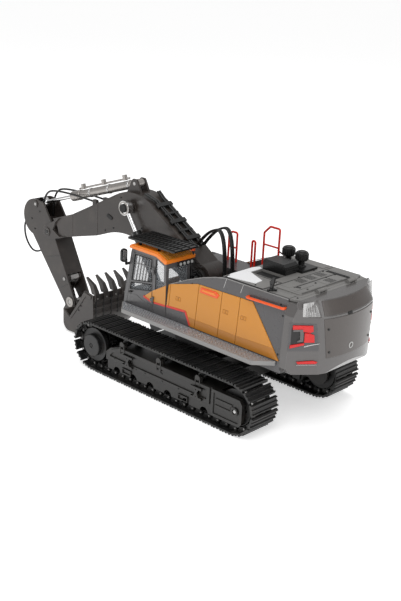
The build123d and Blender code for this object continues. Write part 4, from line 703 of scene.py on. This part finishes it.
slabs("hatch_lines", [rectangle(-126.6, -125.9, -38, 30), rectangle(-142.6, -142.1, -38, 38),
                      rectangle(-134.6, -134.1, 10, 36)], hatch_top, 0.3, "black", "hatch",
      bevel=0)
bolts("hatch_bolts", [(-127, -20), (-127, -34), (-138, 24), (-131, 2.5), (-113, -33)], hatch_top, 0.9, 0.8,
      "black", "hatch")
bolts("deck_bolts", [(-104, -30), (-104, 30), (-62, 51), (-96, 51), (-146, 49), (-146, -49), (-108.4, 0)],
      deck, 0.8, 0.7, "black", "house")
slabs("deck_seams", [rectangle(-109.9, -109.4, -54, 54), rectangle(-141.9, -141.5, 45.6, 54)], deck, 0.2,
      "black", "house", bevel=0)
tube("deck_rod", [(-60, -40, 146.6), (-38, -52.5, 146.6)], 0.8, "black", "house")
slabs("well_floor", [rectangle(-97.2, -67.8, 7.8, 24.2)], level(142.9), 0.15, "matt", "house",
      low=-0.1, bevel=0)
slabs("intake_ribs", [rectangle(-11, 6.4, z, z + 0.9) for z in (147.0, 149.4, 151.8)], facing_back(-97.0),
      0.4, "matt", "house", bevel=0.1)

# ribs round the pre-cleaners' heads, and their caps and collars
CLEANERS = ((-71.0, -29.0), (-90.5, -26.0))
HEAD_R, HEAD_RIBS = 6.2, 20


def round_head(x, y, angle):
    """A plane that touches a pre-cleaner's head at an angle; along runs across it, level."""
    c, s = cos(angle), sin(angle)

    def surface(along, z, out):
        return (x + (HEAD_R + out) * c - along * s, y + (HEAD_R + out) * s + along * c, z)
    return surface


def add_cleaner_ribs():
    bm = bmesh.new()
    for x, y in CLEANERS:
        for angle in turns(HEAD_RIBS):
            add_slab(bm, rectangle(-0.55, 0.55, 155.4, 161.4), round_head(x, y, angle), 0, 0.75)
    piece_from(bm, "cleaner_ribs", "matt", "house", bevel=0.15)


add_cleaner_ribs()
for i, (x, y) in enumerate(CLEANERS):
    slabs(f"cleaner_cap_{i + 1}", [disc(x, y, 4.2, 24)], level(162.8), 1.2, "black", "house",
          low=0.2, bevel=0.5)
    slabs(f"cleaner_collar_{i + 1}", [disc(x, y, 5.2, 24)], level(147.6), 1.2, "matt", "house",
          low=0.1, bevel=0.3)

# ---------------------------------------------------------------- tail
TAIL_STEP = 3.0


def both(outlines):
    """Outlines on the left facet, and the same ones on the right."""
    return outlines + [[(-run, z) for run, z in outline] for outline in outlines]


lamps = slabs("tail_lamps", both([
    [(4.4, 124.0), (23.4, 123.6), (24.2, 118.0), (21.0, 116.6), (7.5, 118.7), (4.2, 120.1)],
    [(15.8, 106.9), (15.8, 116.6), (20.6, 116.2), (25.2, 114.2), (25.9, 106.9)],
    [(2.8, 104.3), (2.6, 101.0), (16.6, 104.5), (15.8, 106.5)],
    [(9.9, 87.4), (11.4, 85.2), (28.9, 85.4), (30.4, 87.2), (26.0, 88.5)]]), facets, 1.32, "lamp", "house",
    low=0.02, bevel=0.2)
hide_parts("tail_lights")
slabs("lamp_beds", both([[(3.4, 121.6), (3.4, 103.4), (17.4, 106.6), (17.4, 119.0)]]), facets, 0.6,
      "arm_dark", "house", low=-0.3, bevel=0.1)
slabs("lamp_hooks", both([
    [(4.7, 118.0), (4.7, 119.8), (13.8, 120.1), (14.8, 116.4), (15.0, 108.1), (9.0, 107.4), (9.4, 108.7),
     (11.6, 109.6), (11.5, 118.0)]]), facets, 1.9, "tail_grey", "house", low=0.1, bevel=0.3)
slabs("lamp_trims", both([[(16.2, 102.0), (22.0, 103.6), (30.6, 105.4), (30.6, 106.2), (22.0, 104.7),
                           (16.2, 103.0)], [(9.6, 84.0), (11.6, 84.7), (29.4, 84.7), (30.4, 84.0)]]), facets,
      1.1, "silver", "house", low=0.1, bevel=0.2)
slabs("lamp_surrounds", both([[(0.9, 98.0), (0.9, 125.6), (26.6, 125.2), (29.0, 114.0), (30.8, 98.0)]]),
      facets, 0.3, "side_grey", "house", low=-0.3, bevel=0.15)


def shoulder(run, rise, out):
    """The twisted corner above each facet; run goes across it from 0 to 1 and its sign picks the side."""
    side = 1 if run > 0 else -1
    run = abs(run)
    out_way = Vector((-0.74, 0.62, 0.26))
    low_edge = Vector((-157.3, 56.2, SHOULDER)).lerp(Vector((-170.0, 41.0, SHOULDER)), run)
    high_edge = Vector((-157.3, 56.2, DECK_Z)).lerp(Vector((-160.9, 38.0, DECK_Z)), run)
    spot = low_edge.lerp(high_edge, rise) + out * out_way
    return (spot.x, side * spot.y, spot.z)


# painted highlight: the sloping shoulder above each tail facet is silver to stand in for the bright
# reflection on the counterweight's upper corners
CORNER_FACET = ((0.08, 0.06), (0.94, 0.06), (0.90, 0.94), (0.08, 0.94))
for side, tag in SIDES:
    slabs(f"corner_facet_{tag}", [[(side * u, v) for u, v in CORNER_FACET]], shoulder, 0.3, "silver",
          "house", low=-0.5, step=0.12, bevel=0.1)

slabs("tail_plate", [[(38.7, 129.2), (33.1, 89.3), (-37.6, 89.3), (-39.6, 129.2)]], tail, 0.6, "slope",
      "house", low=-0.4, step=TAIL_STEP, bevel=0.3)
bolts("tail_plate_bolts", [(33.6, 118.7), (31.0, 95.3), (-35.6, 120), (-34.0, 96)], tail, 1.2, 1.4, "black",
      "house", low=0.3)
ring("tow_hole_rim", 2.5, 97, 2.2, 3.2, tail, 0.2, 1.1, "label", "house", "checker_silver")
slabs("slope_panel", [[(35.6, 144.6), (38.0, 132.0), (-38.0, 132.0), (-35.6, 144.6)]], tail, 0.4, "slope",
      "house", low=-0.4, step=TAIL_STEP, bevel=0.2)
slabs("slope_notch", [rectangle(4.6, 10.4, 129.8, 132.4)], tail, 0.9, "matt", "house",
      bevel=0.15)

# ---------------------------------------------------------------- walkways
STUD_ROWS, STUD_PITCH, ROW_PITCH = 6, 3.2, 2.45
WALK_REAR, LIP_Y = -137, 80.1


def studs_of(side, front):
    """Slanted studs in rows, left out where the walkway's corners are cut off."""
    studs = []
    for row in range(STUD_ROWS):
        y = HOUSE_Y + 2.2 + row * ROW_PITCH
        for i in range(int((front + 132 - row * 1.2) / STUD_PITCH)):
            x = front - 1.6 - i * STUD_PITCH - (1.6 if row % 2 else 0)
            past_rear = x - WALK_REAR + HOUSE_Y + 1 < y + 1.6
            past_front = front - x < y - HOUSE_Y - 0.4
            if not (past_rear or past_front):
                studs.append(oblong(x, side * y, 2.0, 0.65, 45 if (i + row) % 2 else -45, corners=2))
    return studs


for side, tag, front in ((1, "left", 76.5), (-1, "right", 62.0)):
    slabs(f"checker_studs_{tag}", studs_of(side, front), level(SIDE_Z), 0.28, "silver", "house",
          low=-0.05, bevel=0)
    edge = [(front, side * 64.4), (front - 15.7, side * LIP_Y), (-121, side * LIP_Y),
            (WALK_REAR, side * 64.0)]
    slabs(f"walkway_lip_{tag}", band(edge, 1.2), level(SIDE_Z - 4.1), 4.5, "lip", "house",
          low=0, bevel=0.2)

# ---------------------------------------------------------------- undercarriage
CARRIER_XS = (-56, 0, 56)
IDLER, HUB = (-108.5, 26.5), (105.3, 28.2)
for side, tag in SIDES:
    outer = upright(BEAM_Y, side)
    slabs(f"side_crescent_{tag}", [oblong(-3, 31.2, 5, 0.8, 30), oblong(1.4, 33.6, 4, 0.8, -50)], outer, 0.5,
          "matt", "undercarriage", bevel=0.1)
    loops = [bar for x in (49, -36) for bar in frame_of(x - 7, x + 7, 11.4, 17.6, 1.1)]
    slabs(f"guard_loops_{tag}", loops, outer, 1.5, "frame", "undercarriage", low=-0.1,
          bevel=0.25)
    slabs(f"carrier_ribs_{tag}", [rectangle(x + a, x + a + 1.3, 33.0, 45.4) for x in CARRIER_XS
                                  for a in (-3.6, 2.3)], upright(BEAM_Y - 0.2, side), 2.0, "frame",
          "undercarriage", bevel=0.25)
    slabs(f"carrier_heads_{tag}", [disc(x, 44.4, 3.0, 18) for x in CARRIER_XS], upright(BEAM_Y + 0.4, side),
          1.7, "frame", "undercarriage", bevel=0.4)
    slabs(f"side_ledge_{tag}", [rectangle(-50, -20, 38.4, 39.4), rectangle(10, 40, 38.4, 39.4)], outer, 1.9,
          "frame", "undercarriage", bevel=0.2)
    bolts(f"frame_bolts_{tag}", [(-30, 22.8), (-6, 22.8), (20, 22.8), (34, 22.8), (68, 24.4), (52, 37.2)],
          upright(BEAM_Y + 1.0, side), 0.9, 0.9, "black", "undercarriage")
    ring(f"idler_boss_{tag}", *IDLER, 2.6, 4.4, upright(85.0, side), -0.2, 1.0, "frame", "undercarriage",
         "frame_black")
    slabs(f"idler_screw_{tag}", [disc(*IDLER, 1.9, 18)], upright(84.4, side), 0.8, "silver",
          "undercarriage", bevel=0.3)
    slabs(f"hub_screw_{tag}", [disc(*HUB, 1.9, 16)], upright(83.4, side), 0.9, "matt",
          f"drive_{tag}", low=-0.4, bevel=0.2)

# ---------------------------------------------------------------- boom
BACK_EDGE = [(90, 179.2), (58, 160.0), (43, 150.9), (15, 131.6)]
FRONT_EDGE = [(224, 139.6), (180, 162.0), (150, 177.6)]
for side, tag in SIDES:
    face = upright(BOOM_Y, side)
    slabs(f"boom_mark_{tag}", [oblong(157.2, 151.8, 10, 4.4, 20)], face, 0.9, "matt", "boom",
          bevel=0.3)
    bolts(f"boom_bolts_{tag}", [(141, 162), (151, 140), (139, 178), (165, 134), (104, 150)], face, 0.9, 0.8,
          "black", "boom")
    slabs(f"boom_flange_{tag}", band(BACK_EDGE, 0.9) + band(FRONT_EDGE, 0.9), face, 0.5, "arm", "boom",
          bevel=0.15)
    nose = upright(15.7, side)
    ring(f"nose_ring_{tag}", *NOSE, 3.4, 5.6, nose, -0.2, 0.8, "arm", "boom", "arm_brown")
    slabs(f"nose_pin_cap_{tag}", [disc(*NOSE, 2.8, 6)], nose, 1.5, "black", "boom", low=0.2,
          bevel=0.3)
    eye = upright(24.6, side)
    ring(f"rod_eye_ring_{tag}", *BOOM_EYE, 5.9, 7.6, eye, -0.2, 0.5, "cylinder", "boom_rod", "rod_steel")
    slabs(f"rod_eye_cap_{tag}", [disc(*BOOM_EYE, 5.2, 8)], eye, 2.2, "matt", "boom_rod",
          bevel=0.5)
    ring(f"foot_boss_{tag}", *FOOT, 4.0, 8.4, upright(19.0, side), -0.2, 0.9, "black", "house", "frame_black")

PIPE_ALONG = Vector((61, 0, 37.6)).normalized()
PIPE_OUT = Vector((-PIPE_ALONG.z, 0, PIPE_ALONG.x))


def boom_back(y, along, out):
    """Across the boom's back; along runs up its rear slope."""
    return tuple(Vector((12, y, 131)) + along * PIPE_ALONG + out * PIPE_OUT)


slabs("pipe_nuts", [oblong(y, along, 3.0, 3.0, corners=2) for y in PIPE_YS for along in (24.0, 62.0)],
      boom_back, 5.0, "black", "boom", low=1.2, bevel=0.2)
slabs("pipe_clamp_bars", [rectangle(-9.6, 9.6, along - 1.4, along + 1.4) for along in (46.0, 72.0)],
      boom_back, 5.4, "black", "boom", low=0.4, bevel=0.4)
slabs("boom_back_plate", [rectangle(-11.8, 11.8, 38.0, 90.0)], boom_back, 0.9, "arm_dark", "boom",
      low=0.1, bevel=0.2)

# ---------------------------------------------------------------- stick cylinder
BARREL = Vector((172, 0, -58)).normalized()
CYL_FOOT = Vector((124, 0, 196))
BARREL_BORE, CHAMFER = 2.8, 0.4


def collar(name, start, end, radius, look, sides=32):
    """A turned ring on the stick cylinder's axis, bored clear of the rod."""
    across = Vector((0, 1, 0))
    up = BARREL.cross(across)
    bm = bmesh.new()
    loops = []
    for distance, reach in ((start, BARREL_BORE), (start, radius - CHAMFER), (start + CHAMFER, radius),
                            (end - CHAMFER, radius), (end, radius - CHAMFER), (end, BARREL_BORE)):
        centre = CYL_FOOT + distance * BARREL
        loops.append([bm.verts.new(centre + reach * (cos(angle) * across + sin(angle) * up))
                      for angle in turns(sides)])
    bridge(bm, loops + loops[:1])
    return piece_from(bm, name, look, "stick_cylinder")


for i, (start, end, radius, look) in enumerate(((14, 17, 5.5, "silver"), (50, 53, 5.6, "silver"),
                                                (84, 87, 5.6, "silver"), (104, 108, 5.9, "cylinder"))):
    collar(f"barrel_band_{i + 1}", start, end, radius, look)
collar("barrel_gland", 116, 121.5, 5.2, "silver")

# ---------------------------------------------------------------- stick
for side, tag in SIDES:
    face = upright(STICK_Y, side)
    slabs(f"stick_seam_{tag}", [line(275.8, 74.9, 250.6, 82.1, 0.5), line(248, 41.4, 234.0, 49.4, 0.5)],
          face, 0.25, "black", "stick", bevel=0)
    ring(f"tip_boss_{tag}", *TIP, 3.0, 6.4, face, -0.2, 1.1, "cylinder", "stick", "steel")
    ring(f"stick_eye_boss_{tag}", 296, 138, 2.4, 4.6, face, -0.2, 0.9, "arm", "stick", "arm_brown")
    bolts(f"stick_bolts_{tag}", [(304, 118), (298, 106), (240, 55), (288, 130)], face, 1.0, 0.8, "black",
          "stick")

# ---------------------------------------------------------------- bucket
for side, tag in SIDES:
    face = upright(BUCKET_Y, side)
    slabs(f"bucket_cutter_{tag}", [[(165.2, 57.0), (177.6, 59.6), (192, 38.4), (205.6, 19.6), (203.2, 18.4),
                                   (188.6, 36.8), (175.4, 54.6), (166, 53.0)]], face, 0.9, "bucket", "bucket",
          bevel=0.25)
    bolts(f"bucket_bolts_{tag}", [(180.7, 49.9), (182.6, 44.9), (184.5, 39.9), (188.6, 33.4)],
          face, 0.9, 0.8, "black", "bucket")
slabs("floor_ribs", [rectangle(y, y + 1.6, 30.0, 56.0) for y in (-30, -18, -6, 4.4, 16.4, 28.4)],
      facing_back(162.2), 1.0, "arm_dark", "bucket", bevel=0.2)
slabs("tooth_bolts", [disc(y, 54.5, 1.0, 6) for y in (-28, -14, 0, 14, 28)], facing_back(160.0), 0.7,
      "steel", "bucket", bevel=0.1)


# ---------------------------------------------------------------- studio
def area_light(name, place, aim, size, power):
    data = bpy.data.lights.new(name, "AREA")
    data.shape = "RECTANGLE"
    data.size, data.size_y = size
    data.energy = power
    lamp = add_object(name, data)
    lamp.location = place
    lamp.rotation_euler = (Vector(aim) - Vector(place)).to_track_quat("-Z", "Y").to_euler()


def add_studio():
    """A pale paper floor, large enough to have no edge in view, and three soft lights."""
    reach = 60
    mesh = bpy.data.meshes.new("floor")
    mesh.from_pydata([(-reach, -reach, 0), (reach, -reach, 0), (reach, reach, 0), (-reach, reach, 0)], [],
                     [(0, 1, 2, 3)])
    paper = bpy.data.materials.new("paper")
    paper.use_nodes = True
    nodes, links = paper.node_tree.nodes, paper.node_tree.links
    shader = nodes["Principled BSDF"]
    shader.inputs["Roughness"].default_value = 0.9
    shader.inputs["Specular IOR Level"].default_value = 0.1
    shader.inputs["Emission Color"].default_value = (1, 1, 1, 1)
    shader.inputs["Emission Strength"].default_value = 0.5
    fibres = nodes.new("ShaderNodeTexNoise")
    fibres.inputs["Scale"].default_value = 40
    tone = nodes.new("ShaderNodeMix")
    tone.data_type = "RGBA"
    tone.inputs["A"].default_value = (0.93, 0.93, 0.93, 1)
    tone.inputs["B"].default_value = (0.96, 0.96, 0.96, 1)
    links.new(fibres.outputs["Fac"], tone.inputs["Factor"])
    links.new(tone.outputs["Result"], shader.inputs["Base Color"])
    mesh.materials.append(paper)
    add_object("floor", mesh)
    world = bpy.data.worlds.new("studio")
    bpy.context.scene.world = world
    world.use_nodes = True
    world.node_tree.nodes["Background"].inputs["Color"].default_value = (1, 1, 1, 1)
    world.node_tree.nodes["Background"].inputs["Strength"].default_value = 0.5
    area_light("key", (-0.7, 1.1, 1.5), (0, 0, 0.05), (1.0, 0.8), 13)
    area_light("tail_fill", (-1.6, -0.1, 0.7), (-0.1, 0, 0.1), (0.7, 0.7), 4)
    area_light("top", (0.2, -0.3, 1.8), (0, 0, 0), (1.2, 1.2), 8)
    bpy.context.scene.view_settings.view_transform = "Standard"


add_studio()
